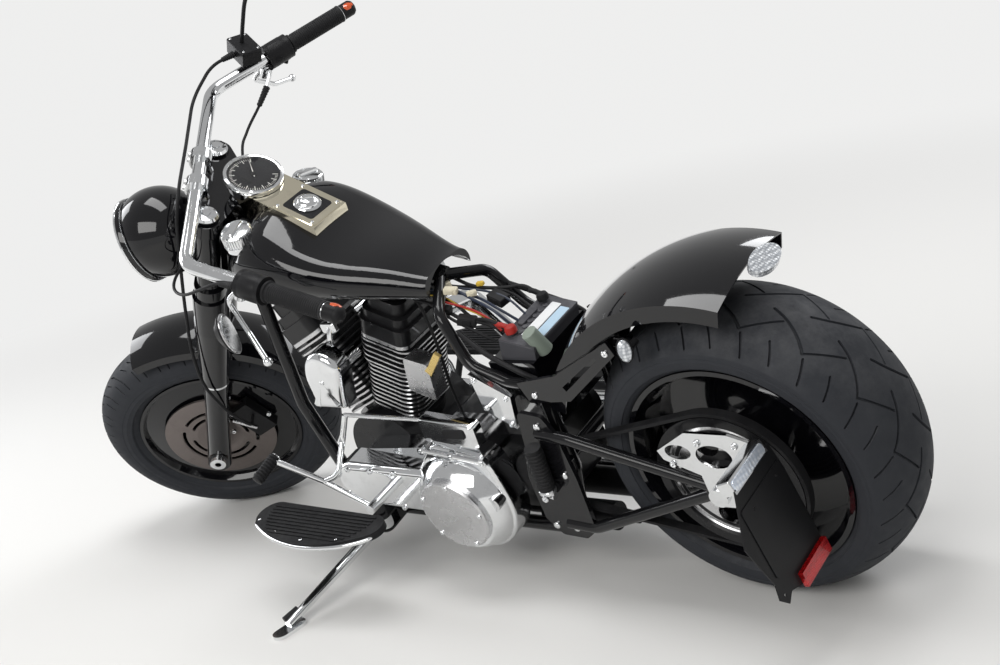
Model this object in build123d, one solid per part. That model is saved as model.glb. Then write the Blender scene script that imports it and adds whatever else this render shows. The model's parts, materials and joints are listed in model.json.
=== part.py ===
from build123d import *
import math
import os

# A chopper motorcycle with a raked wide fork, an open V-twin engine and a wide rear tyre.
# It is modelled upright first: the origin is on the ground under the rear axle, X points forward,
# Y to the left and Z up, in millimetres. The fork is then turned to its left stop and the whole
# machine is leaned on its side stand, so that both tyres and the stand's foot are on Z = 0.

# Chassis
WHEELBASE = 1640.0
RAKE = 33.0
TRAIL = 136.0
LEAN = 12.0
STEERING_STOP = 36.0

# Rear wheel: a 240/40 tyre on an 18 inch rim
REAR_RADIUS = 325.0
REAR_HALF_WIDTH = 122.0
REAR_SHOULDER_RADIUS = 277.0
REAR_BEAD_RADIUS = 232.0
REAR_BEAD_HALF = 106.0

# Front wheel: a 130/90 tyre on a solid 16 inch disc wheel
FRONT_RADIUS = 317.0
FRONT_HALF_WIDTH = 69.0
FRONT_SHOULDER_RADIUS = 268.0
FRONT_BEAD_RADIUS = 212.0
FRONT_BEAD_HALF = 50.0
DISC_RADIUS = 146.0
DISC_RING_INNER = 104.0

# Fork, measured in the steering frame: Q forward of the steering axis, S along it
FORK_OFFSET = 59.0
FORK_HALF_SPREAD = 118.0
FORK_COVER_RADIUS = 43.0
FORK_COVER_LOW_RADIUS = 35.0
FORK_LEG_RADIUS = 31.0
FORK_TUBE_RADIUS = 29.0
COVER_START = 285.0
COVER_TAPER = 190.0
NECK_LOW = 962.0
NECK_HIGH = 1118.0
NECK_RADIUS = 30.0
STEM_RADIUS = 19.95
STEM_BORE = 20.0
TOP_CLAMP = 1122.0
FORK_TOP = 1162.0
LOWER_CLAMP = 920.0
CLAMP_THICKNESS = 34.0
BAR_RADIUS = 15.9
BAR_Q = 85.0
BAR_S = 1186.0

# Engine: crank centre, cylinder angle and the distances along each cylinder from the crank
CRANK_X = 950.0
CRANK_Z = 290.0
CYLINDER_ANGLE = 22.5
CYLINDER_BASE = 112.0
HEAD_BASE = 252.0
ROCKER_BASE = 338.0
ROCKER_TOP = 438.0

# Primary drive and clutch
CLUTCH_X = 645.0
CLUTCH_Z = 265.0
REAR_HOUSING_RADIUS = 128.0
DERBY_RADIUS = 88.0

# Frame tubes
RAIL_RADIUS = 16.0
RAIL_Y = 104.0
RAIL_Z = 128.0
BACKBONE_RADIUS = 25.0

# Side stand
STAND_PIVOT = (985.0, 178.0, 150.0)
STAND_FOOT = (1010.0, 525.0, 131.0)
STAND_PIN = 8.0
STAND_BOSS = 20.0
STAND_BOSS_HEIGHT = 32.0
FOOT_PAD = 8.0
STAND_AXIS = (-0.1543, 0.0651, 0.9859)

# Cables
LARGEST_BEND = 400.0
CABLE_RADIUS = 3.5
HOSE_RADIUS = 4.0

EPS = 0.3

rake_sin = math.sin(math.radians(RAKE))
rake_cos = math.cos(math.radians(RAKE))
AXLE_Q = -TRAIL * rake_cos + FRONT_RADIUS * rake_sin
AXLE_S = TRAIL * rake_sin + FRONT_RADIUS * rake_cos
STEERING_PLANE = Plane(
    origin=(WHEELBASE + TRAIL, 0, 0),
    x_dir=(rake_cos, 0, rake_sin),
    z_dir=(-rake_sin, 0, rake_cos),
)
STEERING_FRAME = Location(STEERING_PLANE)
STEERING_AXIS = Axis((WHEELBASE + TRAIL, 0, 0), (-rake_sin, 0, rake_cos))

nodes = {}


def add(name, shape, body="frame"):
    """Keep one named piece with the body it belongs to."""
    nodes[name] = (shape, body)


def rod(points, radius, bends=0.0):
    """A round bar along straight runs joined by tangent arcs."""
    if len(points) == 2:
        path = Line(*points)
    else:
        path = FilletPolyline(*points, radius=bends)
    return sweep((path ^ 0) * Circle(radius), path=path)


def cable(points, radius):
    """A cable, hose or wire: each bend as wide as its two runs leave room for."""
    bends = []
    for before, corner, after in zip(points, points[1:], points[2:]):
        run_in = Vector(*corner) - Vector(*before)
        run_out = Vector(*after) - Vector(*corner)
        half_turn = math.radians(run_in.get_angle(run_out) / 2)
        shorter = min(run_in.length, run_out.length)
        bends.append(min(LARGEST_BEND, 0.45 * shorter / math.tan(half_turn)))
    return rod(points, radius, bends)


def beyond(start, through, length):
    """The point some way past the second of two points, on their line."""
    way = (Vector(*through) - Vector(*start)).normalized()
    return tuple(Vector(*through) + way * length)


def round_bar(start, direction, radius, length):
    """A cylinder that starts at a point and runs along a direction."""
    plane = Plane(origin=start, z_dir=direction)
    return plane * Cylinder(radius, length, align=(Align.CENTER, Align.CENTER, Align.MIN))


def cone(start, direction, radius_a, radius_b, length):
    """A cone that starts at a point and runs along a direction."""
    plane = Plane(origin=start, z_dir=direction)
    return plane * Cone(radius_a, radius_b, length, align=(Align.CENTER, Align.CENTER, Align.MIN))


def block(low, high):
    """A box between two corners."""
    size = [high[i] - low[i] for i in range(3)]
    middle = [(high[i] + low[i]) / 2 for i in range(3)]
    return Pos(*middle) * Box(*size)


def side_plate(points, y_low, y_high):
    """An outline in X and Z made into a plate between two values of Y."""
    outline = Plane(origin=(0, y_high, 0), x_dir=(1, 0, 0), z_dir=(0, -1, 0))
    face = make_face(Polyline(*points, close=True))
    return extrude(outline * face, y_high - y_low)


def side_hull(circles, y_low, y_high):
    """Circles in X and Z, with their common tangents, made into a plate between two values of Y."""
    outline = Plane(origin=(0, y_high, 0), x_dir=(1, 0, 0), z_dir=(0, -1, 0))
    shapes = [Pos(x, z) * Circle(r) for x, z, r in circles]
    edges = [edge for shape in shapes for edge in shape.edges()]
    return extrude(outline * make_hull(edges), y_high - y_low)


def mirrored(shape):
    """The same piece on the right side."""
    return mirror(shape, about=Plane.XZ)


def group(shapes):
    """Solids that belong to one node without touching each other."""
    return Compound([solid for shape in shapes for solid in shape.solids()])


def both_sides(shape):
    """A piece and its like on the right side."""
    return group([shape, mirrored(shape)])


def spin_about_y(profile_points, arcs=()):
    """Revolve a profile of radius and Y about the Y axis; arcs maps a segment's start to its middle."""
    edges = []
    count = len(profile_points)
    for index in range(count):
        start = profile_points[index]
        end = profile_points[(index + 1) % count]
        if index in arcs:
            edges.append(ThreePointArc(start, arcs[index], end))
        else:
            edges.append(Line(start, end))
    return revolve(make_face(edges), Axis.Y)


# Wheels


def tyre(radius, half_width, shoulder, bead, bead_half):
    """A solid tyre ring: round crown between the shoulders, side walls down to the beads."""
    wall_mid = ((shoulder + bead) / 2 + 4, half_width + 1.5)
    points = [(bead, bead_half), (shoulder, half_width), (shoulder, -half_width), (bead, -bead_half)]
    arcs = {
        0: wall_mid,
        1: (radius, 0),
        2: (wall_mid[0], -wall_mid[1]),
    }
    return spin_about_y(points, arcs)


def crown_radius(radius, half_width, shoulder):
    """Radius of the crown's arc through both shoulders and the tread's middle."""
    drop = radius - shoulder
    return (half_width**2 + drop**2) / (2 * drop)


def in_bike(q, y, s):
    """A steering-frame point in the upright motorcycle frame."""
    return (
        WHEELBASE + TRAIL + q * rake_cos - s * rake_sin,
        y,
        q * rake_sin + s * rake_cos,
    )


# Parked place: leaned on the stand, both tyres on Z = 0, X and Y centred on the whole outline


def lowest_point(centre, axis, radius, crown):
    """Height of a tyre's lowest point from its hub, its axis and its round crown."""
    return centre.Z - (radius - crown) * math.sqrt(1 - axis.Z**2) - crown


def parked_point(point, place):
    """A point carried by a placement."""
    return (place * Location(point)).position


def parked_direction(direction, place):
    """A direction carried by a placement."""
    origin = parked_point((0, 0, 0), place)
    return parked_point(direction, place) - origin


STEERED_FRAME = STEERING_FRAME * Rot(0, 0, STEERING_STOP)
FRONT_HUB = parked_point((AXLE_Q, 0, AXLE_S), STEERED_FRAME)
FRONT_SIDE = parked_direction((0, 1, 0), STEERED_FRAME)

leaned = Rot(-LEAN, 0, 0)
pitch = 0.0
for step in range(4):
    place = Rot(0, pitch, 0) * leaned
    rear_low = lowest_point(
        parked_point((0, 0, REAR_RADIUS), place), parked_direction((0, 1, 0), place), REAR_RADIUS,
        crown_radius(REAR_RADIUS, REAR_HALF_WIDTH, REAR_SHOULDER_RADIUS),
    )
    front_low = lowest_point(
        parked_point(FRONT_HUB, place), parked_direction(FRONT_SIDE, place), FRONT_RADIUS,
        crown_radius(FRONT_RADIUS, FRONT_HALF_WIDTH, FRONT_SHOULDER_RADIUS),
    )
    pitch += math.degrees(math.atan2(front_low - rear_low, WHEELBASE))
lifted = Pos(0, 0, -rear_low) * Rot(0, pitch, 0) * leaned

REAR_AXLE = Pos(0, 0, REAR_RADIUS)
FRONT_AXLE = STEERING_FRAME * Pos(AXLE_Q, 0, AXLE_S)

rear_tyre = tyre(
    REAR_RADIUS, REAR_HALF_WIDTH, REAR_SHOULDER_RADIUS, REAR_BEAD_RADIUS, REAR_BEAD_HALF
)
add("rear_tyre", REAR_AXLE * rear_tyre, "rear_wheel")

rear_rim = spin_about_y([
    (REAR_BEAD_RADIUS, REAR_BEAD_HALF), (REAR_BEAD_RADIUS, 112), (222, 112), (210, 92), (206, 30),
    (70, 24), (60, 60), (34, 60), (34, -60), (60, -60), (70, -24), (206, -30), (210, -92), (222, -112),
    (REAR_BEAD_RADIUS, -112), (REAR_BEAD_RADIUS, -REAR_BEAD_HALF),
]) - round_bar((0, -80, 0), (0, 1, 0), 13.0, 160)
add("rear_rim", REAR_AXLE * rear_rim, "rear_wheel")

PULLEY_Y = 135.0
PULLEY_RADIUS = 152.0
rear_pulley = spin_about_y([
    (PULLEY_RADIUS, 124), (PULLEY_RADIUS, 146), (132, 146), (126, 138), (50, 138), (44, 148),
    (13.05, 148), (13.05, 60.2), (46, 60.2), (46, 118), (126, 124),
])
for index in range(5):
    rear_pulley -= Rot(0, index * 72, 0) * Pos(88, PULLEY_Y, 0) * Rot(90, 0, 0) * Cylinder(27, 60)
add("rear_pulley", REAR_AXLE * rear_pulley, "rear_wheel")

rear_disc = spin_about_y([(146, -126), (146, -132), (88, -132), (88, -126)])
rear_disc += spin_about_y([(92, -126), (92, -120), (34, -60.2), (13.05, -60.2), (13.05, -120), (60, -126)])
add("rear_disc", REAR_AXLE * rear_disc, "rear_wheel")

front_tyre = tyre(
    FRONT_RADIUS, FRONT_HALF_WIDTH, FRONT_SHOULDER_RADIUS, FRONT_BEAD_RADIUS, FRONT_BEAD_HALF
)
add("front_tyre", FRONT_AXLE * front_tyre, "front_wheel")

front_rim = spin_about_y([
    (FRONT_BEAD_RADIUS, FRONT_BEAD_HALF), (FRONT_BEAD_RADIUS, 56), (204, 56), (196, 44), (150, 52),
    (60, 44), (54, 50), (12.05, 50), (12.05, -50), (54, -50), (60, -44), (150, -52), (196, -44),
    (204, -56), (FRONT_BEAD_RADIUS, -56), (FRONT_BEAD_RADIUS, -FRONT_BEAD_HALF),
])
add("front_rim", FRONT_AXLE * front_rim, "front_wheel")

front_disc = spin_about_y([(DISC_RADIUS, 62), (DISC_RADIUS, 68), (DISC_RING_INNER, 68), (DISC_RING_INNER, 62)])
front_disc += spin_about_y([
    (DISC_RING_INNER, 62.5), (DISC_RING_INNER, 67.5), (62, 67.5), (44, 65), (12.05, 65), (12.05, 50.1),
    (40, 50.1), (62, 62.5),
])
for radius, span in ((96, 70), (74, 52)):
    for index in range(4):
        slot = SlotArc(CenterArc((0, 0), radius, 90 * index + radius / 4, span), 9)
        front_disc -= Pos(0, 80, 0) * Rot(90, 0, 0) * extrude(slot, 40)
add("front_disc", FRONT_AXLE * front_disc, "front_wheel")

# Fork and steering, in the steering frame


def steered(name, shape):
    """A piece that turns with the fork, given in the steering frame."""
    add(name, STEERING_FRAME * shape, "steering")


def clamp_plate(s_low, thickness):
    """A triple clamp: three round eyes joined by their common tangents."""
    eyes = [
        (0, 0, 34),
        (FORK_OFFSET, FORK_HALF_SPREAD, FORK_TUBE_RADIUS + 8),
        (FORK_OFFSET, -FORK_HALF_SPREAD, FORK_TUBE_RADIUS + 8),
    ]
    edges = [edge for q, y, r in eyes for edge in (Pos(q, y) * Circle(r)).edges()]
    plate = Pos(0, 0, s_low) * extrude(make_hull(edges), thickness)
    for q, y, r in eyes[1:]:
        plate -= Pos(q, y, s_low + thickness / 2) * Cylinder(FORK_TUBE_RADIUS + 0.02, thickness + 2)
    return plate


fork_legs = []
EYE_HALF = FORK_LEG_RADIUS + 1
for side in (1, -1):
    y = side * FORK_HALF_SPREAD
    cover_low = AXLE_S + COVER_START
    cover_high = cover_low + COVER_TAPER
    leg = round_bar((FORK_OFFSET, y, AXLE_S - 44), (0, 0, 1), FORK_LEG_RADIUS, COVER_START + 50)
    leg += cone((FORK_OFFSET, y, cover_low), (0, 0, 1), FORK_COVER_LOW_RADIUS, FORK_COVER_RADIUS, COVER_TAPER)
    leg += round_bar((FORK_OFFSET, y, cover_high), (0, 0, 1), FORK_COVER_RADIUS, LOWER_CLAMP - EPS - cover_high)
    leg += round_bar((FORK_OFFSET, y, LOWER_CLAMP - 10), (0, 0, 1), FORK_TUBE_RADIUS, FORK_TOP - LOWER_CLAMP + 10)
    leg += round_bar((AXLE_Q, y - EYE_HALF, AXLE_S), (0, 1, 0), 24, 2 * EYE_HALF)
    leg -= round_bar((AXLE_Q, y - 60, AXLE_S), (0, 1, 0), 12.05, 120)
    fork_legs.append(leg)
steered("fork_legs", group(fork_legs))

axle_half = FORK_HALF_SPREAD + EYE_HALF
AXLE_BORE = 8.2
FRONT_AXLE_LENGTH = 2 * axle_half + 28
front_axle = round_bar((AXLE_Q, -axle_half - 4, AXLE_S), (0, 1, 0), 12.0, 2 * axle_half + 8)
front_axle += round_bar((AXLE_Q, axle_half, AXLE_S), (0, 1, 0), 20, 14)
front_axle += round_bar((AXLE_Q, -axle_half, AXLE_S), (0, -1, 0), 20, 14)
front_axle -= round_bar((AXLE_Q, -FRONT_AXLE_LENGTH, AXLE_S), (0, 1, 0), AXLE_BORE, 2 * FRONT_AXLE_LENGTH)
steered("front_axle", front_axle)

triple_clamps = clamp_plate(TOP_CLAMP, CLAMP_THICKNESS) + clamp_plate(LOWER_CLAMP, CLAMP_THICKNESS)
triple_clamps += round_bar((0, 0, LOWER_CLAMP), (0, 0, 1), STEM_RADIUS, 1166 - LOWER_CLAMP)
steered("triple_clamps", triple_clamps)

risers = []
for side in (1, -1):
    riser = round_bar((BAR_Q - 12, side * 48, TOP_CLAMP + CLAMP_THICKNESS - 10), (0.3, 0, 1), 17, 40)
    riser += Pos(BAR_Q, side * 48, BAR_S) * Rot(90, 0, 0) * Cylinder(26, 32)
    riser -= block((-200, -200, 900), (200, 200, TOP_CLAMP + CLAMP_THICKNESS))
    risers.append(riser)

BAR_CORNER = (BAR_Q, 303.0, BAR_S)
BAR_END = (-215.0, 521.0, 1285.0)


def along_grip(share):
    """A point on the grip's line, from the bar's corner at 0 to its end at 1."""
    return tuple(BAR_CORNER[i] + share * (BAR_END[i] - BAR_CORNER[i]) for i in range(3))


def mirrored_point(point):
    """The same point on the right side."""
    return (point[0], -point[1], point[2])


grip_direction = tuple(BAR_END[i] - BAR_CORNER[i] for i in range(3))
right_grip_direction = mirrored_point(grip_direction)
grip_length = math.dist(BAR_CORNER, BAR_END)
handlebar = rod(
    [mirrored_point(BAR_END), mirrored_point(BAR_CORNER), BAR_CORNER, BAR_END], BAR_RADIUS, 60.0
)
for riser in risers:
    handlebar += riser
steered("handlebar", handlebar)

grip_solids = []
end_solids = []
housing_solids = []
for flip in (False, True):
    direction = right_grip_direction if flip else grip_direction
    start = along_grip(0.60)
    tip = along_grip(1.0)
    housing = along_grip(0.42)
    if flip:
        start, tip, housing = mirrored_point(start), mirrored_point(tip), mirrored_point(housing)
    length = grip_length * 0.40
    grip = round_bar(start, direction, 19.5, length)
    grip -= round_bar(start, direction, BAR_RADIUS + 0.02, length + 5)
    grip_solids.append(grip)
    end_solids.append(round_bar(tip, direction, 19.5, 30))
    box = round_bar(housing, direction, 30, grip_length * 0.17)
    box -= round_bar(housing, direction, BAR_RADIUS + 0.02, grip_length * 0.2)
    housing_solids.append(box)
steered("grips", group(grip_solids))
steered("bar_end_signals", group(end_solids))

# Headlight: a bullet shell on the lower fork, facing forward and level
HEADLIGHT = (1422.0, 0.0, 938.0)
SHELL_RADIUS = 98.0
SHELL_DEPTH = 150.0
shell_centre = (SHELL_RADIUS**2 - SHELL_DEPTH**2) / (2 * SHELL_DEPTH)
shell_curve = SHELL_DEPTH + shell_centre
shell_run = math.sqrt(shell_curve**2 - 85**2)
headlight_shell = revolve(
    make_face([
        Line((0, 0), (0, SHELL_RADIUS)),
        ThreePointArc((0, SHELL_RADIUS), (shell_centre - shell_run, 85), (-SHELL_DEPTH, 0)),
        Line((-150, 0), (0, 0)),
    ]),
    Axis.X,
)
headlight_shell = Pos(*HEADLIGHT) * headlight_shell
headlight_shell += rod([(1378, 0, 880), (1340, 0, 800)], 16)
headlight_shell -= STEERING_FRAME * triple_clamps
add("headlight_shell", headlight_shell, "steering")
LENS_TOP = 40.0
LENS_CURVE = (90**2 + 22**2) / (2 * 22)
headlight_lens = revolve(
    make_face([
        Line((0.2, 0), (0.2, 102)),
        Line((0.2, 102), (18, 102)),
        Line((18, 102), (18, 90)),
        ThreePointArc((18, 90), (LENS_TOP - LENS_CURVE + math.sqrt(LENS_CURVE**2 - 50**2), 50), (LENS_TOP, 0)),
        Line((LENS_TOP, 0), (0.2, 0)),
    ]),
    Axis.X,
)
add("headlight_lens", Pos(*HEADLIGHT) * headlight_lens, "steering")


def fender_band(inner, side_depth, half_width, crown, wall, start, sweep_angle):
    """A fender: a crowned thin section of radius and Y, turned part way about the Y axis."""
    outer_edge = inner + side_depth
    top = outer_edge + crown
    face = make_face([
        Line((inner, half_width), (outer_edge, half_width)),
        ThreePointArc((outer_edge, half_width), (top, 0), (outer_edge, -half_width)),
        Line((outer_edge, -half_width), (inner, -half_width)),
        Line((inner, -half_width), (inner, -half_width + wall)),
        Line((inner, -half_width + wall), (outer_edge - 1, -half_width + wall)),
        ThreePointArc(
            (outer_edge - 1, -half_width + wall), (top - wall, 0), (outer_edge - 1, half_width - wall)
        ),
        Line((outer_edge - 1, half_width - wall), (inner, half_width - wall)),
        Line((inner, half_width - wall), (inner, half_width)),
    ])
    band = revolve(face, Axis.Y, sweep_angle)
    return band.rotate(Axis.Y, start)


front_fender = fender_band(312, 22, 76, 18, 3.5, -84, -94)
front_fender = Pos(WHEELBASE, 0, FRONT_RADIUS) * front_fender
for side in (1, -1):
    bracket = Pos(AXLE_Q, side * 82, AXLE_S + 306) * Box(52, 11.9, 34)
    bracket = STEERING_FRAME * bracket
    front_fender += bracket
front_fender -= STEERING_FRAME * fork_legs[0]
front_fender -= STEERING_FRAME * fork_legs[1]
add("front_fender", front_fender, "steering")

# Frame

neck = STEERING_FRAME * round_bar((0, 0, NECK_LOW), (0, 0, 1), NECK_RADIUS, NECK_HIGH - NECK_LOW)
neck_joint = in_bike(-10, 0, 1060)
BACKBONE_END = (640, 0, 706)
backbone = rod([neck_joint, BACKBONE_END], BACKBONE_RADIUS)
neck_bore = STEERING_FRAME * round_bar((0, 0, 900), (0, 0, 1), STEM_BORE, 300)

# Side tubes of the cradle, from the neck down past the engine and back to the seat
rail_points = [
    in_bike(-14, 17, 1022),
    in_bike(-96, 58, 950),
    (1166, 106, 430),
    (1118, RAIL_Y, RAIL_Z),
    (452, RAIL_Y, RAIL_Z),
    (402, RAIL_Y, 300),
    (402, RAIL_Y, 500),
]
rail_left = rod(rail_points, RAIL_RADIUS, [35, 90, 60, 50, 40])
rail_left -= STEERING_FRAME * round_bar((0, 0, 900), (0, 0, 1), NECK_RADIUS, 300)
rail_left -= backbone
add("frame_rails", both_sides(rail_left))

# Seat tubes from the backbone down to the rails, either side of the battery
seat_points = [(648, 8, 708), (606, 92, 668), (556, 115, 560), (470, 116, 520), (386, 116, 514)]
seat_tube = rod(seat_points, 13, [40, 60, 60])
frame_backbone = neck + backbone + seat_tube + mirrored(seat_tube)
frame_backbone -= neck_bore
frame_backbone -= rail_left
frame_backbone -= mirrored(rail_left)
add("frame_backbone", frame_backbone)

# Swing arm: a triangle of tubes each side of the wide wheel
SWING_Y = 164.0
PIVOT_PLATE = [
    (430, 486), (372, 476), (352, 430), (346, 320), (352, 184), (384, 160), (446, 164), (476, 206), (474, 318),
    (446, 400),
]
swing_side = rod([(404, SWING_Y, 432), (330, SWING_Y, 420), (0, SWING_Y, REAR_RADIUS)], 13, 60)
swing_side += rod([(420, SWING_Y, 196), (350, SWING_Y, 190), (0, SWING_Y, REAR_RADIUS)], 13, 60)
pivot_plate = side_plate(PIVOT_PLATE, SWING_Y - 5, SWING_Y + 5)
swing_side += fillet(pivot_plate.edges().filter_by(Axis.Y), 14)
swing_side += round_bar((0, SWING_Y - 12, REAR_RADIUS), (0, 1, 0), 34, 24)
swing_side -= round_bar((0, 0, REAR_RADIUS), (0, 1, 0), 13.0, 260)
swing_bar = round_bar((402, -SWING_Y, 330), (0, 1, 0), 15, 2 * SWING_Y)
swing_bar -= rail_left
swing_bar -= mirrored(rail_left)
swing_arm = group([swing_side, mirrored(swing_side)])
for piece in swing_bar.solids():
    swing_arm = swing_arm + piece
add("swing_arm", group([swing_arm]))

rear_axle = round_bar((0, -192, REAR_RADIUS), (0, 1, 0), 12.95, 384)
for side in (1, -1):
    rear_axle += round_bar((0, side * 177, REAR_RADIUS), (0, side, 0), 20, 15)
add("rear_axle", rear_axle)

shocks = []
for side in (1, -1):
    shock = round_bar((330, side * 56, 128), (1, 0, 0), 12, 60)
    shock += round_bar((385, side * 56, 128), (1, 0, 0), 32, 190)
    shock += round_bar((575, side * 56, 128), (1, 0, 0), 12, 50)
    shocks.append(shock)
add("shock_absorbers", group(shocks))

# Engine

crankcase = side_hull([(CRANK_X, CRANK_Z, 112), (CRANK_X - 10, CRANK_Z - 20, 112)], -96, 99.5)
for sign in (1, -1):
    direction = (sign * math.sin(math.radians(CYLINDER_ANGLE)), 0, math.cos(math.radians(CYLINDER_ANGLE)))
    crankcase += round_bar((CRANK_X, 0, CRANK_Z), direction, 78, CYLINDER_BASE)
crankcase += block((815, -80, 200), (900, 80, 330))
crankcase += side_hull([(CRANK_X, CRANK_Z, 92), (CRANK_X + 70, CRANK_Z + 40, 52)], -132, -94)
add("crankcase", crankcase)

cylinder_rows = [("front", 1), ("rear", -1)]
FIN_PITCH = 13.0
FIN_THICKNESS = 4.5


def fin(distance, length_x, length_y, corner):
    """One cooling fin, some way along its cylinder."""
    plate = extrude(RectangleRounded(length_x, length_y, corner), FIN_THICKNESS)
    return Pos(0, 0, distance) * plate


barrels = []
heads = []
rockers = []
for name, sign in cylinder_rows:
    along = Pos(CRANK_X, 0, CRANK_Z) * Rot(0, sign * CYLINDER_ANGLE, 0)
    barrel = Pos(0, 0, CYLINDER_BASE) * Cylinder(
        60, HEAD_BASE - CYLINDER_BASE, align=(Align.CENTER, Align.CENTER, Align.MIN)
    )
    for index in range(10):
        barrel += fin(CYLINDER_BASE + 12 + index * FIN_PITCH, 148, 160, 40)
    barrel = along * barrel
    barrel -= crankcase
    other_half = Pos(CRANK_X - sign * 149, 0, 450) * Box(300, 240, 600)
    barrel -= other_half
    barrels.append(barrel)
    head = Pos(0, 0, HEAD_BASE) * extrude(RectangleRounded(110, 120, 30), ROCKER_BASE - HEAD_BASE - EPS)
    for index in range(5):
        head += fin(HEAD_BASE + 4 + index * 15, 150, 168, 34)
    head += Pos(0, 0, ROCKER_BASE - EPS - 10) * extrude(RectangleRounded(134, 172, 26), 10)
    heads.append(along * head)
    rocker = extrude(RectangleRounded(132, 172, 26), 40)
    rocker += Pos(0, 0, 40) * extrude(RectangleRounded(118, 158, 24), 26)
    rocker += Pos(0, 0, 66) * extrude(RectangleRounded(100, 140, 22), ROCKER_TOP - ROCKER_BASE - 66)
    rockers.append(along * Pos(0, 0, ROCKER_BASE) * rocker)
add("cylinders", group([barrels[0] + heads[0], barrels[1] + heads[1]]))
add("rocker_covers", group(rockers))

# Push rods run up the right side from the cam cover to the heads
push_rods = []
for x_low, x_high in ((905, 838), (930, 885), (972, 1012), (998, 1060)):
    foot = (x_low, -112, 360)
    top = (x_high, -92, 556)
    direction = tuple(top[i] - foot[i] for i in range(3))
    tube = round_bar(foot, direction, 10, math.dist(foot, top))
    tube += round_bar(foot, direction, 16, 30)
    tube -= crankcase
    tube -= heads[0]
    tube -= heads[1]
    push_rods.append(max(tube.solids(), key=lambda solid: solid.volume))
add("push_rod_tubes", group(push_rods))

horn_face = Plane(origin=(912, 158, 574), x_dir=(-0.89, 0, -0.455), z_dir=(0, 1, 0))
horn_edge = make_face([
    Line((-38, -78), (38, -78)),
    Line((38, -78), (52, 30)),
    ThreePointArc((52, 30), (0, 82), (-52, 30)),
    Line((-52, 30), (-38, -78)),
])
horn_cover = extrude(horn_face * horn_edge, 52)
horn_cover = chamfer(horn_cover.edges().group_by(Axis.Y)[-1], 20)
horn_cover += block((892, 100, 560), (928, 159, 590))
add("horn_cover", horn_cover)

coil_cover = side_plate([(726, 586), (664, 568), (682, 474), (750, 502)], 88, 130)
coil_cover = fillet(coil_cover.edges().filter_by(Axis.Y), 8)
add("coil_cover", coil_cover)
key = side_plate([(668, 560), (652, 572), (618, 606), (606, 596), (640, 562), (656, 546)], 130.1, 138)
add("ignition_key", key)

# Primary drive cover: a low front part, a tall rear part with a flat top, and a dome that steps up
# to the clutch's round cover
PRIMARY_FACE = 208.0
DOME_FACE = 246.0
primary_front = side_hull([(972, 285, 58), (CLUTCH_X, CLUTCH_Z + 14, 62)], 150, PRIMARY_FACE + 8)
primary_front = fillet(primary_front.edges().group_by(Axis.Y)[-1], 16)
primary_rear = side_hull(
    [(CLUTCH_X, CLUTCH_Z, REAR_HOUSING_RADIUS), (668, 378, 34), (562, 354, 34)], 150, PRIMARY_FACE
)
primary_rear = fillet(primary_rear.edges().group_by(Axis.Y)[-1], 8)
dome = revolve(
    make_face([
        Line((0, 0), (124, 0)),
        ThreePointArc((124, 0), (113, 24), (DERBY_RADIUS + 8, DOME_FACE - PRIMARY_FACE + 8)),
        Line((DERBY_RADIUS + 8, DOME_FACE - PRIMARY_FACE + 8), (0, DOME_FACE - PRIMARY_FACE + 8)),
        Line((0, DOME_FACE - PRIMARY_FACE + 8), (0, 0)),
    ]),
    Axis.Y,
)
primary_cover = primary_front + primary_rear + Pos(CLUTCH_X, PRIMARY_FACE - 8, CLUTCH_Z) * dome
primary_cover += side_hull([(940, 288, 56), (CLUTCH_X, CLUTCH_Z, 104)], 100, 152)
primary_cover += block((548, 100, 372), (676, 196, 424))
primary_cover += round_bar((540, 190, 286), (0, 1, 0), 17, 44)
for index in range(5):
    angle = math.radians(72 * index + 30)
    x = CLUTCH_X + (DERBY_RADIUS - 9) * math.cos(angle)
    z = CLUTCH_Z + (DERBY_RADIUS - 9) * math.sin(angle)
    primary_cover += round_bar((x, DOME_FACE - 2, z), (0, 1, 0), 5, 6)
primary_cover -= rail_left
add("primary_cover", primary_cover)
derby = round_bar((CLUTCH_X, DOME_FACE + 0.05, CLUTCH_Z), (0, 1, 0), DERBY_RADIUS, 12)
derby = chamfer(derby.edges().group_by(Axis.Y)[-1], 4)
derby -= primary_cover
add("derby_cover", derby)

gearbox = block((470, -96, 172), (780, 99.5, 372))
gearbox = fillet(gearbox.edges().filter_by(Axis.Y), 40)
gearbox += round_bar((520, -128, 300), (0, 1, 0), 44, 40)
add("gearbox", gearbox)

# Battery, oil tank and side cover under the missing seat
battery_place = Pos(452, 0, 528) * Rot(0, -14, 0)
battery = battery_place * Box(86, 172, 140)
for y in (62, -62):
    battery += battery_place * Pos(26, y, 76) * Cylinder(9, 13)
add("battery", battery)
oil_tank = block((400, -98, 400), (520, 98, 556))
oil_tank = oil_tank - battery
oil_tank -= rail_left
oil_tank -= mirrored(rail_left)
add("oil_tank", oil_tank)
side_cover = side_plate([(540, 560), (452, 505), (470, 424), (538, 470)], 132, 146)
add("side_cover", side_cover)

# Speedometer, over the tank's front
SPEEDO = (1077, 0, 989)
SPEEDO_NORMAL = (-math.sin(math.radians(33)), 0, math.cos(math.radians(33)))
speedo_base = tuple(SPEEDO[i] - 30 * SPEEDO_NORMAL[i] for i in range(3))
speedometer = cone(speedo_base, SPEEDO_NORMAL, 58, 66, 30)
add("speedometer", speedometer)

# Fuel tank: sections from the neck to an open arch at its rear, tangent arcs all round
tank_stations = [
    # x, z of the floor, tilt, height, half width
    (1208, 772, 33, 112, 74),
    (1172, 750, 31, 202, 146),
    (1060, 742, 22, 190, 172),
    (900, 738, 8, 112, 162),
    (760, 712, 2, 84, 122),
    (664, 692, 0, 66, 88),
    (626, 686, 0, 60, 79),
]
tank_hollow = [(598, 630, 0, 108, 73), (664, 630, 0, 125, 85), (712, 640, 0, 128, 94)]


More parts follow.
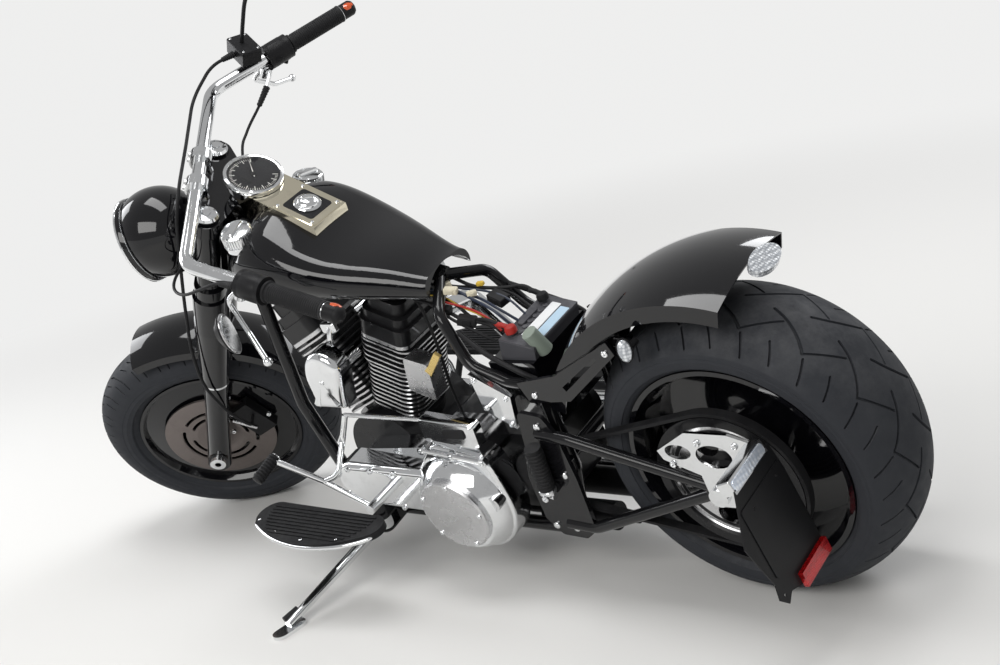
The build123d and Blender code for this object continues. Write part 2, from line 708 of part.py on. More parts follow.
def tank_section(x, z, tilt, height, width):
    """One section: a flat floor, round sides and a crowned top, with no corner between them."""
    angle = math.radians(tilt)
    plane = Plane(
        origin=(x, 0, z), x_dir=(0, 1, 0), z_dir=(math.cos(angle), 0, math.sin(angle))
    )
    waist = 0.46 * height
    rise = height - waist
    side = 0.88 * rise
    inset = width - side
    crown = (inset**2 + rise**2 - side**2) / (2 * (rise - side))
    turn = math.atan2(waist - height + crown, inset)
    shoulder = (inset + side * math.cos(turn), waist + side * math.sin(turn))
    side_middle = (inset + side * math.cos(turn / 2), waist + side * math.sin(turn / 2))
    low_middle = (width - waist + waist * math.cos(math.pi / 4), waist - waist * math.sin(math.pi / 4))

    def left(point):
        return (-point[0], point[1])

    floor_end = (width - waist, 0)
    edge = (width, waist)
    outline = make_face([
        Line(left(floor_end), floor_end),
        ThreePointArc(floor_end, low_middle, edge),
        ThreePointArc(edge, side_middle, shoulder),
        ThreePointArc(shoulder, (0, height), left(shoulder)),
        ThreePointArc(left(shoulder), left(side_middle), left(edge)),
        ThreePointArc(left(edge), left(low_middle), left(floor_end)),
    ])
    return plane * outline


TUNNEL_DEPTH = 160.0
TUNNEL_MIDDLE = TUNNEL_DEPTH / 2 - BACKBONE_RADIUS - 7
tank = loft([tank_section(*row) for row in tank_stations])
tank -= loft([tank_section(*row) for row in tank_hollow])
backbone_direction = tuple(neck_joint[i] - BACKBONE_END[i] for i in range(3))
tunnel_start = tuple(BACKBONE_END[i] - 0.3 * backbone_direction[i] for i in range(3))
tunnel_side = Plane(origin=tunnel_start, z_dir=backbone_direction, x_dir=(0, 1, 0))
tunnel = tunnel_side * Pos(0, -TUNNEL_MIDDLE, 0) * Box(
    72, TUNNEL_DEPTH, 900, align=(Align.CENTER, Align.CENTER, Align.MIN)
)
tank -= tunnel
tank -= STEERING_FRAME * round_bar((0, 0, 880), (0, 0, 1), NECK_RADIUS + 8, 300)
for rail_path in (rail_points[:3], [mirrored_point(point) for point in rail_points[:3]]):
    tank -= rod(rail_path, RAIL_RADIUS + 5, 30)
tank -= frame_backbone
tank -= speedometer
tank = max(tank.solids(), key=lambda solid: solid.volume)
add("fuel_tanks", tank)

cap = cone((1070, 120, 880), (-0.3, 0.16, 1), 36, 34, 40)
cap -= tank
cap = max(cap.solids(), key=lambda solid: solid.center().Z)
add("fuel_caps", both_sides(cap))

console = side_plate(
    [(1092, 900), (900, 840), (896, 874), (1046, 958), (1060, 966), (1100, 968)], -56, 56
)
console -= speedometer
console -= tank
console -= tunnel
console = max(console.solids(), key=lambda solid: solid.volume)
add("dash_console", console)

# Rear fender, lamp and struts
FENDER_CENTRE = (10, 0, 328)
rear_fender = fender_band(352, 34, 134, 24, 3.5, -22, -84)
SEAT_BOLT_REACH = (140.0, 385.35)
SEAT_BOLT_RADIUS = 3.2
SEAT_BOLT_LENGTH = 12.0
SEAT_BOLT_AXIS = (SEAT_BOLT_REACH[0] / 410, 0, SEAT_BOLT_REACH[1] / 410)
SEAT_BOLT = tuple(FENDER_CENTRE[i] + SEAT_BOLT_AXIS[i] * (410 - SEAT_BOLT_LENGTH / 2) for i in range(3))
seat_boss_start = tuple(FENDER_CENTRE[i] + SEAT_BOLT_AXIS[i] * (410 - SEAT_BOLT_LENGTH) for i in range(3))
rear_fender = Pos(*FENDER_CENTRE) * rear_fender
rear_fender += round_bar(seat_boss_start, SEAT_BOLT_AXIS, 9, SEAT_BOLT_LENGTH)
rear_fender -= round_bar(seat_boss_start, SEAT_BOLT_AXIS, SEAT_BOLT_RADIUS, 60)
rear_fender -= round_bar(seat_boss_start, tuple(-v for v in SEAT_BOLT_AXIS), SEAT_BOLT_RADIUS, 20)
add("rear_fender", rear_fender)

tail_light = Pos(-128, 0, 716) * Rot(0, -28, 0) * extrude(Ellipse(24, 46), 12)
tail_light -= rear_fender
tail_light = max(tail_light.solids(), key=lambda solid: solid.volume)
add("tail_light", tail_light)

STRUT_Y = 136.0
strut = side_plate([(420, 540), (404, 492), (300, 500), (150, 612), (160, 640), (316, 560)], STRUT_Y, 144)
strut -= side_plate([(300, 524), (196, 600), (200, 606), (306, 534)], STRUT_Y - 2, 146)
strut -= rail_left
strut -= frame_backbone
strut = max(strut.solids(), key=lambda solid: solid.volume)
add("fender_struts", both_sides(strut))

signal = round_bar((96, STRUT_Y - 1.5, 640), (0, 1, 0), 6, 24)
signal += round_bar((88, 158, 640), (0.8, 0.6, 0), 19, 34)
signal -= rear_fender
signal = max(signal.solids(), key=lambda solid: solid.volume)
add("rear_signals", both_sides(signal))

# Drive belt round the gearbox sprocket and the wheel pulley
BELT_CLEARANCE = 1.5
BELT_THICKNESS = 7.0
SPROCKET = (462.0, 300.0, 56.0)
inner_radius = PULLEY_RADIUS + BELT_CLEARANCE
belt = side_hull(
    [(0, REAR_RADIUS, inner_radius + BELT_THICKNESS), (SPROCKET[0], SPROCKET[1], SPROCKET[2] + BELT_THICKNESS)],
    125, 145,
)
belt -= side_hull([(0, REAR_RADIUS, inner_radius), SPROCKET], 120, 150)
sprocket = round_bar((SPROCKET[0], 100, SPROCKET[1]), (0, 1, 0), SPROCKET[2] - EPS, 47)
sprocket -= rail_left
sprocket -= swing_arm
sprocket -= primary_cover
sprocket = max(sprocket.solids(), key=lambda solid: solid.volume)
add("drive_belt", group([belt, sprocket]))

# Plate arm on the left end of the rear axle, with a light bar, a plate holder that faces back
# and a reflector under it
PLATE_TOP = (-125.0, 445.0)
PLATE_TILT = 10.0
PLATE_WALL = 3.0
PLATE_SEAT = 2.0
plate_frame = Location(Plane(origin=(PLATE_TOP[0], 0, PLATE_TOP[1]), x_dir=(0, 1, 0), z_dir=(-1, 0, 0)))
plate_frame = plate_frame * Rot(PLATE_TILT, 0, 0)
plate_arm = side_plate(
    [(20, 300), (-26, 300), (-112, 430), (-112, 452), (-60, 470), (30, 470), (104, 424), (96, 404), (24, 372)],
    177.5, 184,
)
plate_arm -= round_bar((0, 170, REAR_RADIUS), (0, 1, 0), 20.05, 40)
plate_arm -= Pos(58, 180, 424) * Rot(90, 0, 0) * extrude(Ellipse(28, 17), 30, both=True)
plate_arm -= Pos(-18, 180, 418) * Rot(90, 0, 0) * extrude(Ellipse(38, 26), 30, both=True)
plate_arm += Pos(-112, 239, 444) * Rot(0, 20, 0) * Box(30, 124, 26)
holder_edge = make_face(Polyline([
    (166, 0), (300, 0), (349, 92), (326, 190), (334, 218), (316, 240), (296, 228), (256, 244),
    (240, 256), (162, 256), (158, 200), (158, 60),
], close=True))
plate_holder = plate_frame * extrude(holder_edge, PLATE_WALL)
plate_seat = Pos(240, 112) * RectangleRounded(150, 150, 8)
plate_holder += plate_frame * extrude(plate_seat, PLATE_WALL + PLATE_SEAT)
PLATE_HOLES = ((190.0, 56.0), (280.0, 56.0))
PLATE_HOLE_RADIUS = 3.2
for y, z in PLATE_HOLES + ((316.0, 220.0),):
    plate_holder -= plate_frame * Pos(y, z, 0) * Cylinder(PLATE_HOLE_RADIUS, 30)
plate_holder -= plate_arm
plate_holder = max(plate_holder.solids(), key=lambda solid: solid.volume)
add("plate_arm", plate_arm)
add("plate_holder", plate_holder)
reflector = plate_frame * Pos(211, 234, PLATE_WALL + 0.05) * Box(
    102, 30, 10, align=(Align.CENTER, Align.CENTER, Align.MIN)
)
add("plate_reflector", reflector)

# Exhaust on the right: a pipe from each head to a long straight muffler
PORT_Y = -70.0
MUFFLER_Y = -246.0
front_pipe = rod(
    [(1086, PORT_Y, 566), (1112, -184, 540), (1124, -200, 270), (900, -206, 258), (640, MUFFLER_Y, 180)],
    22, [40, 90, 120],
)
front_pipe += round_bar((660, MUFFLER_Y, 180), (-1, 0, -0.014), 36, 720)
rear_pipe = rod(
    [(812, PORT_Y, 566), (780, -178, 546), (740, -214, 420), (690, MUFFLER_Y, 290), (590, MUFFLER_Y, 262)],
    22, [40, 90, 60],
)
rear_pipe += round_bar((610, MUFFLER_Y, 264), (-1, 0, -0.014), 36, 620)
exhausts = []
for piece in (front_pipe, rear_pipe):
    for neighbour in heads + rockers + barrels:
        piece -= neighbour
    exhausts.append(max(piece.solids(), key=lambda solid: solid.volume))
add("exhaust_pipes", group(exhausts))

air_cleaner = round_bar((934, -176, 600), (0, -1, 0), 88, 44)
air_cleaner = fillet(air_cleaner.edges().group_by(Axis.Y)[0], 16)
air_cleaner += round_bar((934, -100, 600), (0, -1, 0), 30, 78)
air_cleaner += round_bar((934, -60, 580), (0, -1, 0), 22, 60)
add("air_cleaner", air_cleaner)

# Foot controls
board_edge = make_face([
    Line((1120, 312), (812, 318)),
    ThreePointArc((812, 318), (770, 345), (790, 384)),
    ThreePointArc((790, 384), (960, 436), (1140, 392)),
    ThreePointArc((1140, 392), (1164, 348), (1120, 312)),
])
board = Pos(0, 0, 282) * extrude(board_edge, 16)
board_left = board
board_right = mirrored(board)
for x in (870, 1060):
    board_left += rod([(x, 336, 274), (x, 240, 204), (x - 10, 160, 196), (x - 20, RAIL_Y, RAIL_Z)], 9, 24)
    board_right += rod([(x, -330, 276), (x - 10, -240, 200), (x - 20, -RAIL_Y, RAIL_Z)], 9, 30)
board_left -= rail_left
board_left -= primary_cover
board_right -= mirrored(rail_left)
boards = [max(piece.solids(), key=lambda solid: solid.volume) for piece in (board_left, board_right)]
add("floorboards", group(boards))

shift = rod([(641, 182, 463), (921, 190, 470)], 5)
shift += rod([(921, 190, 470), (946, 208, 414), (950, 262, 352), (985, 278, 344)], 7, [30, 24])
shift += rod([(887, 262, 267), (985, 278, 344), (1058, 326, 440)], 7, 16)
shift += round_bar((887, 216, 267), (0, 1, 0), 12, 56)
shift += round_bar((1058, 312, 438), (0.12, 0.96, -0.24), 11, 72)
shift += rod([(641, 182, 463), (640, 120, 380)], 7)
shift -= gearbox
shift -= primary_cover
shift = max(shift.solids(), key=lambda solid: solid.volume)

pedal = rod([(1040, -RAIL_Y, RAIL_Z + 6), (1044, -262, 180), (1080, -297, 262), (1150, -298, 400)], 8, [30, 30])
pedal += Pos(1154, -298, 408) * Rot(0, 65, 0) * Box(56, 46, 12)
pedal -= mirrored(rail_left)
pedal -= boards[1]
pedal = max(pedal.solids(), key=lambda solid: solid.volume)
add("foot_controls", group([shift, pedal]))

peg = round_bar((414, 190, 300), (-0.12, 0.05, 1), 17, 120)
peg += round_bar((410, 130, 296), (0.04, 1, 0.05), 13, 66)
peg -= rail_left
peg -= swing_arm
peg -= sprocket
add("passenger_pegs", both_sides(max(peg.solids(), key=lambda solid: solid.volume)))

# Bar controls, in the steering frame
clutch_lever = rod([(-34, 388, 1206), (-10, 386, 1168), (-58, 436, 1122), (-98, 494, 1102)], 6, [14, 30])
clutch_lever += Pos(-98, 494, 1102) * Sphere(10)
clutch_lever += round_bar((-40, 388, 1206), (0.2, 0, -1), 13, 26)
housing_left = housing_solids[0]
clutch_lever -= housing_left
clutch_lever -= handlebar
brake_lever = mirrored(clutch_lever)
levers = [max(lever.solids(), key=lambda solid: solid.volume) for lever in (clutch_lever, brake_lever)]
steered("levers", group(levers))

master = Pos(10, -372, 1262) * Rot(0, 0, 35) * Box(52, 74, 34)
master -= housing_solids[1]
master -= handlebar
master = max(master.solids(), key=lambda solid: solid.volume)
steered("switch_housings", group([housing_solids[0], housing_solids[1] + master]))

mirror_right = rod([(16, -376, 1279.5), (10, -380, 1380), (-16, -430, 1436)], 5, 20)
mirror_right += Pos(-18, -430, 1436) * Rot(90, 0, 60) * extrude(Ellipse(58, 34), 22)
mirror_left = rod([(-20, 352, 1204), (-6, 372, 1150), (-20, 410, 1124)], 5, 20)
mirror_left += Pos(-10, 440, 1126) * Rot(90, 20, 60) * extrude(Ellipse(58, 34), 22)
mirror_left -= housing_left
mirror_left -= clutch_lever
mirror_left = max(mirror_left.solids(), key=lambda solid: solid.volume)
mirror_right -= master
steered("mirrors", group([mirror_right, mirror_left]))

CALIPER_ANGLE = 133.0
caliper = Pos(AXLE_Q, 68, AXLE_S) * Rot(0, -CALIPER_ANGLE, 0) * Pos(126, 0, 0) * Box(64, 40, 110)
caliper -= Pos(AXLE_Q, 0, AXLE_S) * spin_about_y([(156, 60.5), (156, 69.5), (60, 69.5), (60, 60.5)])
caliper -= Pos(AXLE_Q, 0, AXLE_S) * spin_about_y([(320, 0), (320, 57.5), (60, 57.5), (60, 0)])
caliper = max(caliper.solids(), key=lambda solid: solid.volume)
steered("front_caliper", caliper)

# Brake hose, all on the fork: from the master cylinder over the bar and down to the caliper
hose_route = [
    (32.5, -356.4, 1262), (84, -320, 1250), (121, -240, 1210), (121, -80, 1200), (122, 60, 1198), (125, 114, 1156),
    (124, 120, 1040), (120, 126, 900), (110, 146, 760), (84, 166, 650), (30, 168, 560), (-14, 150, 496),
    (-27, 120, 452), (-27, 88.3, 452),
]
steered("brake_hose", cable(hose_route, HOSE_RADIUS))


def in_turned_fork(point):
    """A fixed point of the upright frame, in the steering frame as it is turned at rest."""
    return tuple(parked_point(point, STEERED_FRAME.inverse()))


# Throttle and clutch cables: from the bar to guides beside the neck, and on along the frame
throttle_guide = in_bike(-44, -33, 1046)
throttle_next = (1140, -29.2, 842)
clutch_guide = in_bike(6, 46, 1012)
clutch_next = in_bike(-34, 36, 1036)
throttle_enters = beyond(throttle_next, throttle_guide, 30)
clutch_enters = beyond(clutch_next, clutch_guide, 40)
throttle_route = [
    (-54.7, -378.9, 1220.5), (-28, -360, 1212), (-30, -300, 1162), (-56, -200, 1122),
    in_turned_fork(throttle_enters), in_turned_fork(throttle_guide),
]
clutch_route = [
    (-26.7, 409.8, 1234.4), (12, 382, 1212), (86, 330, 1124), (124, 230, 1050), (116, 130, 1016),
    in_turned_fork(clutch_enters), in_turned_fork(clutch_guide),
]
steered("control_cables", group([cable(throttle_route, CABLE_RADIUS), cable(clutch_route, CABLE_RADIUS)]))
throttle_run = [
    throttle_guide, throttle_next, (1070, -29.2, 824), (1000, -29.2, 790), (962, -29.2, 738), (950, -48, 712),
    (942, -92, 694), (936, -138, 672), (936, -142, 630.4),
]
clutch_run = [
    clutch_guide, clutch_next, (1140, 29.2, 842), (1040, 29.2, 806), (900, 29.2, 762), (780, 29.2, 722),
    (712, 32, 676), (694, 50, 580), (700, 62, 460), (700, 64, 372.3),
]

# Battery leads, forward into the tank's open rear end
lead_left = cable([(464, 62, 616), (500, 66, 642), (556, 56, 636), (606, 34, 664), (672, 38, 690)], 4)
lead_right = cable([(464, -62, 616), (498, -70, 640), (548, -58, 640), (600, -30, 660), (672, -38, 690)], 4)
leads = []
for lead in (lead_left, lead_right):
    lead -= frame_backbone
    lead -= battery
    lead -= tank
    leads.append(max(lead.solids(), key=lambda solid: solid.volume))
add("cable_runs", group([cable(throttle_run, CABLE_RADIUS), cable(clutch_run, CABLE_RADIUS)] + leads))

# Side stand: a tapered leg on a pin in a bracket under the left rail
stand_frame = Location(Plane(origin=STAND_PIVOT, z_dir=STAND_AXIS))
stand_vector = tuple(STAND_FOOT[i] - STAND_PIVOT[i] for i in range(3))
side_stand = cone(STAND_PIVOT, stand_vector, 14, 10, math.dist(STAND_PIVOT, STAND_FOOT))
side_stand += stand_frame * Cylinder(STAND_BOSS, STAND_BOSS_HEIGHT)
side_stand -= stand_frame * Cylinder(STAND_PIN + 0.05, 80)
foot_on_ground = parked_point(STAND_FOOT, lifted)
foot_pad = Pos(foot_on_ground.X, foot_on_ground.Y, 0) * Rot(0, 0, 85) * extrude(SlotOverall(86, 40), FOOT_PAD)
side_stand += lifted.inverse() * foot_pad
add("side_stand", side_stand, "side_stand")

ear = extrude(SlotOverall(120, 44), 6)
ear_middle = Pos(0, -38, 0) * Rot(0, 0, 90)
stand_bracket = stand_frame * Pos(0, 0, STAND_BOSS_HEIGHT / 2 + 0.5) * ear_middle * ear
stand_bracket += stand_frame * Pos(0, 0, -STAND_BOSS_HEIGHT / 2 - 6.5) * ear_middle * ear
stand_bracket += stand_frame * Pos(0, -57, 0) * Box(44, 60, STAND_BOSS_HEIGHT + 12)
stand_bracket += stand_frame * Cylinder(STAND_PIN, STAND_BOSS_HEIGHT + 20)
stand_bracket -= rail_left
stand_bracket -= crankcase
stand_bracket = max(stand_bracket.solids(), key=lambda solid: solid.volume)
add("stand_bracket", stand_bracket)


def turned(shape, body):
    """Turn what steers to the left stop."""
    if body in ("steering", "front_wheel"):
        return shape.rotate(STEERING_AXIS, STEERING_STOP)
    return shape


placed = {name: lifted * turned(shape, body) for name, (shape, body) in nodes.items()}
boxes = [shape.bounding_box() for shape in placed.values()]
middle_x = (min(box.min.X for box in boxes) + max(box.max.X for box in boxes)) / 2
middle_y = (min(box.min.Y for box in boxes) + max(box.max.Y for box in boxes)) / 2
centring = Pos(-middle_x, -middle_y, 0)
PLACE = centring * lifted

os.makedirs("parts", exist_ok=True)
for name, shape in placed.items():
    export_step(centring * shape, f"parts/{name}.step")
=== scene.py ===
import json
import math

import bmesh
import bpy
from mathutils import Matrix, Vector
from mathutils.geometry import delaunay_2d_cdt


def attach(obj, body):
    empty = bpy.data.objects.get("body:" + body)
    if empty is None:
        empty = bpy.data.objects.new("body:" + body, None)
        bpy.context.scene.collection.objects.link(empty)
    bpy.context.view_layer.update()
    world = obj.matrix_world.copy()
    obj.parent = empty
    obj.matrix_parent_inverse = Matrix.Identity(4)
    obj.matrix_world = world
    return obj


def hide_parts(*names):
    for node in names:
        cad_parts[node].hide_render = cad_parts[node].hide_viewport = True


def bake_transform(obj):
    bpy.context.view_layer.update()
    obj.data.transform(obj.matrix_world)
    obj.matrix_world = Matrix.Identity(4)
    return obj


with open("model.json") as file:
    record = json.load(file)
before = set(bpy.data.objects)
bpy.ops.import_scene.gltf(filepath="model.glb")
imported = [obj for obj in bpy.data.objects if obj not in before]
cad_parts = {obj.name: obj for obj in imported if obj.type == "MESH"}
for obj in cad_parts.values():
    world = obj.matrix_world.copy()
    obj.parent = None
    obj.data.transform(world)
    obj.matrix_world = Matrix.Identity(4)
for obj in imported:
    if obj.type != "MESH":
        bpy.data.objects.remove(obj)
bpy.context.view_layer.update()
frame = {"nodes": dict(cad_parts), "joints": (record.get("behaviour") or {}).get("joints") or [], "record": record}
NODES = frame["nodes"]

# The machine's own frame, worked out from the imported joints: X forward, Y left, Z up, upright,
# with its origin on the ground under the rear axle
RAKE = math.radians(33)
LEAN = 12
REAR_RADIUS = 0.325
TOP_CLAMP = 1.122
JOINTS = {joint["name"]: joint for joint in frame["joints"]}
SIDES = ((1, "left"), (-1, "right"))


def basis(x, y, z, origin):
    """A 4 x 4 matrix from three axes and an origin."""
    return Matrix.Translation(origin) @ Matrix((x, y, z)).transposed().to_4x4()


def moved(x, y, z):
    return Matrix.Translation((x, y, z))


def turned(degrees, axis="Z"):
    return Matrix.Rotation(math.radians(degrees), 4, axis)


def joint_line(name):
    """The direction and the place of a joint."""
    return Vector(JOINTS[name]["axis"]).normalized(), Vector(JOINTS[name]["pos_m"])


STEER_WAY, STEER_PLACE = joint_line("steering")
REAR_WAY, REAR_PLACE = joint_line("rear_wheel_spin")
FRONT_WAY, FRONT_PLACE = joint_line("front_wheel_spin")


def machine_frame():
    side = STEER_WAY.cross(REAR_WAY)
    forward = -math.cos(RAKE) * side - math.sin(RAKE) * STEER_WAY
    up = math.cos(RAKE) * STEER_WAY - math.sin(RAKE) * side
    return basis(forward, REAR_WAY, up, REAR_PLACE - REAR_RADIUS * up)


BIKE = machine_frame()
# Q forward of the steering axis, Y left, S up along it, turned as the bar is
FORK = basis(FRONT_WAY.cross(STEER_WAY), FRONT_WAY, STEER_WAY, STEER_PLACE - TOP_CLAMP * STEER_WAY)
BIKE_MM = BIKE @ Matrix.Scale(0.001, 4)
FORK_MM = FORK @ Matrix.Scale(0.001, 4)
ON_PIECES = Matrix.Identity(4)

# Camera at the photograph's viewing angle, placed in the machine's leaned frame
CAMERA_PLACE = Vector((-1.3567, 2.1795, 1.3963))
CAMERA_TURN = Vector((0.52048, -2.07929, 1.39796))
FOCAL_PIXELS = 1383.46
IMAGE_WIDTH = 1000
SENSOR = 36.0


def make_camera():
    data = bpy.data.cameras.new("camera")
    data.sensor_fit = "HORIZONTAL"
    data.sensor_width = SENSOR
    data.lens = FOCAL_PIXELS / IMAGE_WIDTH * SENSOR
    camera = bpy.data.objects.new("camera", data)
    bpy.context.scene.collection.objects.link(camera)
    right, down, forward = Matrix.Rotation(CAMERA_TURN.length, 3, CAMERA_TURN.normalized())
    leaned = basis(right, -down, -forward, CAMERA_PLACE)
    camera.matrix_world = BIKE @ turned(LEAN, "X") @ leaned
    bpy.context.scene.camera = camera


make_camera()


# Materials
class Nodes:
    """A tree of nodes: adds some, and sets or links their inputs."""

    def __init__(self, tree):
        self.tree = tree

    def feed(self, socket, value):
        """Sets a socket, or links it where the value is another node's output."""
        if isinstance(value, bpy.types.NodeSocket):
            self.tree.links.new(value, socket)
        else:
            socket.default_value = value

    def add(self, kind, settings=(), **inputs):
        node = self.tree.nodes.new("ShaderNode" + kind)
        for name, value in dict(settings).items():
            setattr(node, name, value)
        for name, value in inputs.items():
            self.feed(node.inputs[name.replace("_", " ")], value)
        return node

    def either(self, output, share, first, second):
        """Sends one shader to the output, and another as far as the share goes."""
        mix = self.add("MixShader", Fac=share)
        self.feed(mix.inputs[1], first.outputs[0])
        self.feed(mix.inputs[2], second.outputs[0])
        self.feed(self.tree.nodes[output].inputs["Surface"], mix.outputs[0])


class Finish(Nodes):
    """A material under construction: nodes round one main shader."""

    def __init__(self, name, **sockets):
        self.material = bpy.data.materials.new(name)
        self.material.use_nodes = True
        super().__init__(self.material.node_tree)
        self.shader = self.tree.nodes["Principled BSDF"]
        self.coordinates = self.add("TexCoord").outputs["Object"]
        self.bump_chain = None
        for socket, value in sockets.items():
            self.set(socket.replace("_", " "), value)

    def set(self, socket, value):
        self.feed(self.shader.inputs[socket], value)

    def stretched(self, scale=(1, 1, 1), matrix=ON_PIECES):
        """Object coordinates, stretched by axis or turned into a frame."""
        back = matrix.inverted()
        node = self.add("Mapping", Vector=self.coordinates, Scale=scale, Rotation=back.to_euler(),
                        Location=back.translation)
        return node.outputs["Vector"]

    def noise(self, scale, detail=4.0, rough=0.55, vector=None):
        place = vector or self.coordinates
        return self.add("TexNoise", Vector=place, Scale=scale, Detail=detail, Roughness=rough).outputs["Fac"]

    def ramp(self, value, low, high, out_low=0.0, out_high=1.0, **settings):
        """Maps a value from one range to another, clamped."""
        node = self.add("MapRange", settings, Value=value, From_Min=low, From_Max=high,
                        To_Min=out_low, To_Max=out_high)
        return node.outputs["Result"]

    def math(self, operation, *values, kind="Math"):
        node = self.add(kind, {"operation": operation})
        for socket, value in zip(node.inputs, values):
            self.feed(socket, value)
        return node.outputs["Value"]

    def product(self, first, *others):
        for other in others:
            first = self.math("MULTIPLY", first, other)
        return first

    def mix(self, share, a, b):
        """A colour between a and b."""
        node = self.add("Mix", {"data_type": "RGBA"})
        for index, value in ((0, share), (6, a), (7, b)):
            self.feed(node.inputs[index], (*value, 1) if isinstance(value, tuple) else value)
        return node.outputs[2]

    def upward(self, low=0.35, high=0.95):
        """How far a face looks up, from 0 to 1."""
        normal = self.add("NewGeometry").outputs["Normal"]
        return self.ramp(self.add("SeparateXYZ", Vector=normal).outputs["Z"], low, high)

    def bump(self, height, strength, distance):
        node = self.add("Bump", Height=height, Strength=strength, Distance=distance)
        if self.bump_chain is not None:
            self.feed(node.inputs["Normal"], self.bump_chain)
        self.bump_chain = node.outputs["Normal"]
        self.set("Normal", self.bump_chain)


# Floor, backdrop, world and lamps
FLOOR_COLOUR = (0.72, 0.715, 0.70, 1)
BACKDROP_COLOUR = (0.86, 0.86, 0.855, 1)
WORLD_STRENGTH = 0.42
FLOOR_SIZE = 160.0
SHADOW_REACH = (1.6, 4.2)
LAMPS = (
    # name, place, what it is aimed at, width and height, power, colour
    ("window", (-0.6, 3.4, 2.6), (0.1, 0, 0.5), (3.2, 1.6), 90, (1.0, 0.99, 0.97)),
    ("wall", (3.6, 0.6, 2.0), (0.2, 0, 0.5), (1.4, 2.6), 60, (0.97, 0.98, 1.0)),
    ("back", (-0.8, -3.2, 2.8), (0, 0, 0.5), (3.0, 1.2), 60, (0.97, 0.98, 1.0)),
    ("top", (0.0, 0.2, 3.6), (0, 0, 0.4), (2.4, 1.0), 45, (1, 1, 1)),
)


def floor_material():
    """Pale and matt round the machine, and a flat pale backdrop colour further out."""
    finish = Finish("floor_matt", Base_Color=FLOOR_COLOUR, Roughness=0.85, Specular_IOR_Level=0.2)
    path = finish.add("LightPath").outputs
    seen = path["Is Camera Ray"]
    for ray in ("Is Glossy Ray", "Is Transmission Ray"):
        seen = finish.math("MAXIMUM", seen, path[ray])
    reach = finish.math("LENGTH", finish.coordinates, kind="VectorMath")
    fade = finish.ramp(reach, *SHADOW_REACH, interpolation_type="SMOOTHSTEP")
    flat = finish.add("Emission", Color=BACKDROP_COLOUR)
    finish.either("Material Output", finish.product(seen, fade), finish.shader, flat)
    return finish.material


def make_stage():
    bpy.ops.mesh.primitive_plane_add(size=FLOOR_SIZE)
    floor = bpy.context.object
    floor.name = "floor"
    floor.data.materials.append(floor_material())
    world = bpy.data.worlds.new("studio")
    bpy.context.scene.world = world
    world.use_nodes = True
    nodes = Nodes(world.node_tree)
    sky = nodes.tree.nodes["Background"]
    sky.inputs["Color"].default_value = (1, 1, 1, 1)
    sky.inputs["Strength"].default_value = WORLD_STRENGTH
    seen = nodes.add("Background", Color=BACKDROP_COLOUR, Strength=1.0)
    nodes.either("World Output", nodes.add("LightPath").outputs["Is Camera Ray"], sky, seen)
    for name, place, target, size, power, colour in LAMPS:
        data = bpy.data.lights.new(name, "AREA")
        data.shape = "RECTANGLE"
        data.size, data.size_y = size
        data.energy = power
        data.color = colour
        lamp = bpy.data.objects.new(name, data)
        lamp.location = place
        lamp.rotation_euler = (Vector(target) - Vector(place)).to_track_quat("-Z", "Y").to_euler()
        bpy.context.scene.collection.objects.link(lamp)


make_stage()
bpy.context.scene.view_settings.view_transform = "Standard"

DUST = (0.27, 0.27, 0.275)


def paint(name, colour, rough, coat, dust):
    """Sprayed paint: fine ripple, wiping marks and a little dust on faces that look up."""
    finish = Finish(name, Coat_Weight=coat, Coat_Roughness=0.03, Coat_IOR=1.38, Specular_IOR_Level=0.16)
    speckle = finish.ramp(finish.noise(900, 2), 0.55, 0.8)
    clouds = finish.ramp(finish.noise(9, 5), 0.35, 0.75)
    settled = finish.product(speckle, clouds, finish.upward(), dust)
    finish.set("Base Color", finish.mix(settled, colour, DUST))
    wiped = finish.noise(7, 6, 0.65, finish.stretched((1, 3, 1)))
    finish.set("Roughness", finish.ramp(wiped, 0.3, 0.75, rough, rough + 0.1))
    finish.bump(finish.noise(220, 2), 0.04, 0.0006)
    return finish.material


def plated(name, colour, low, high, grain=0.0):
    """Plated or polished metal with smudges, and brushing where grain is given."""
    finish = Finish(name, Metallic=1.0)
    finish.set("Roughness", finish.ramp(finish.noise(16, 6, 0.7), 0.35, 0.72, low, high))
    dirt = finish.ramp(finish.noise(34, 5, 0.7), 0.52, 0.8)
    finish.set("Base Color", finish.mix(dirt, colour, tuple(0.86 * c for c in colour)))
    finish.bump(finish.noise(40, 2), 0.02, 0.0006)
    if grain:
        finish.bump(finish.noise(260, 2, 0.5, finish.stretched((1, 12, 12))), grain, 0.0002)
    return finish.material


def matt(name, colour, rough, grain_scale, grain, dust):
    """Rubber or moulded plastic with a fine grain and settled dust."""
    finish = Finish(name, Specular_IOR_Level=0.22)
    clouds = finish.ramp(finish.noise(14, 6, 0.7), 0.4, 0.75)
    settled = finish.product(clouds, finish.upward(0.1, 0.9), dust)
    finish.set("Base Color", finish.mix(settled, colour, DUST))
    finish.set("Roughness", finish.ramp(finish.noise(40, 4), 0.3, 0.7, rough - 0.08, rough + 0.08))
    finish.bump(finish.noise(grain_scale, 3), grain, 0.0005)
    return finish.material


def lens(name, colour, rough, clear):
    """Moulded coloured or clear lens with fine ribs inside it."""
    finish = Finish(name, Base_Color=(*colour, 1), Roughness=rough, Transmission_Weight=clear,
                    Coat_Weight=1.0, Coat_Roughness=0.03)
    finish.bump(finish.noise(160, 1, 0.5, finish.stretched((1, 1, 6))), 0.15, 0.001)
    return finish.material


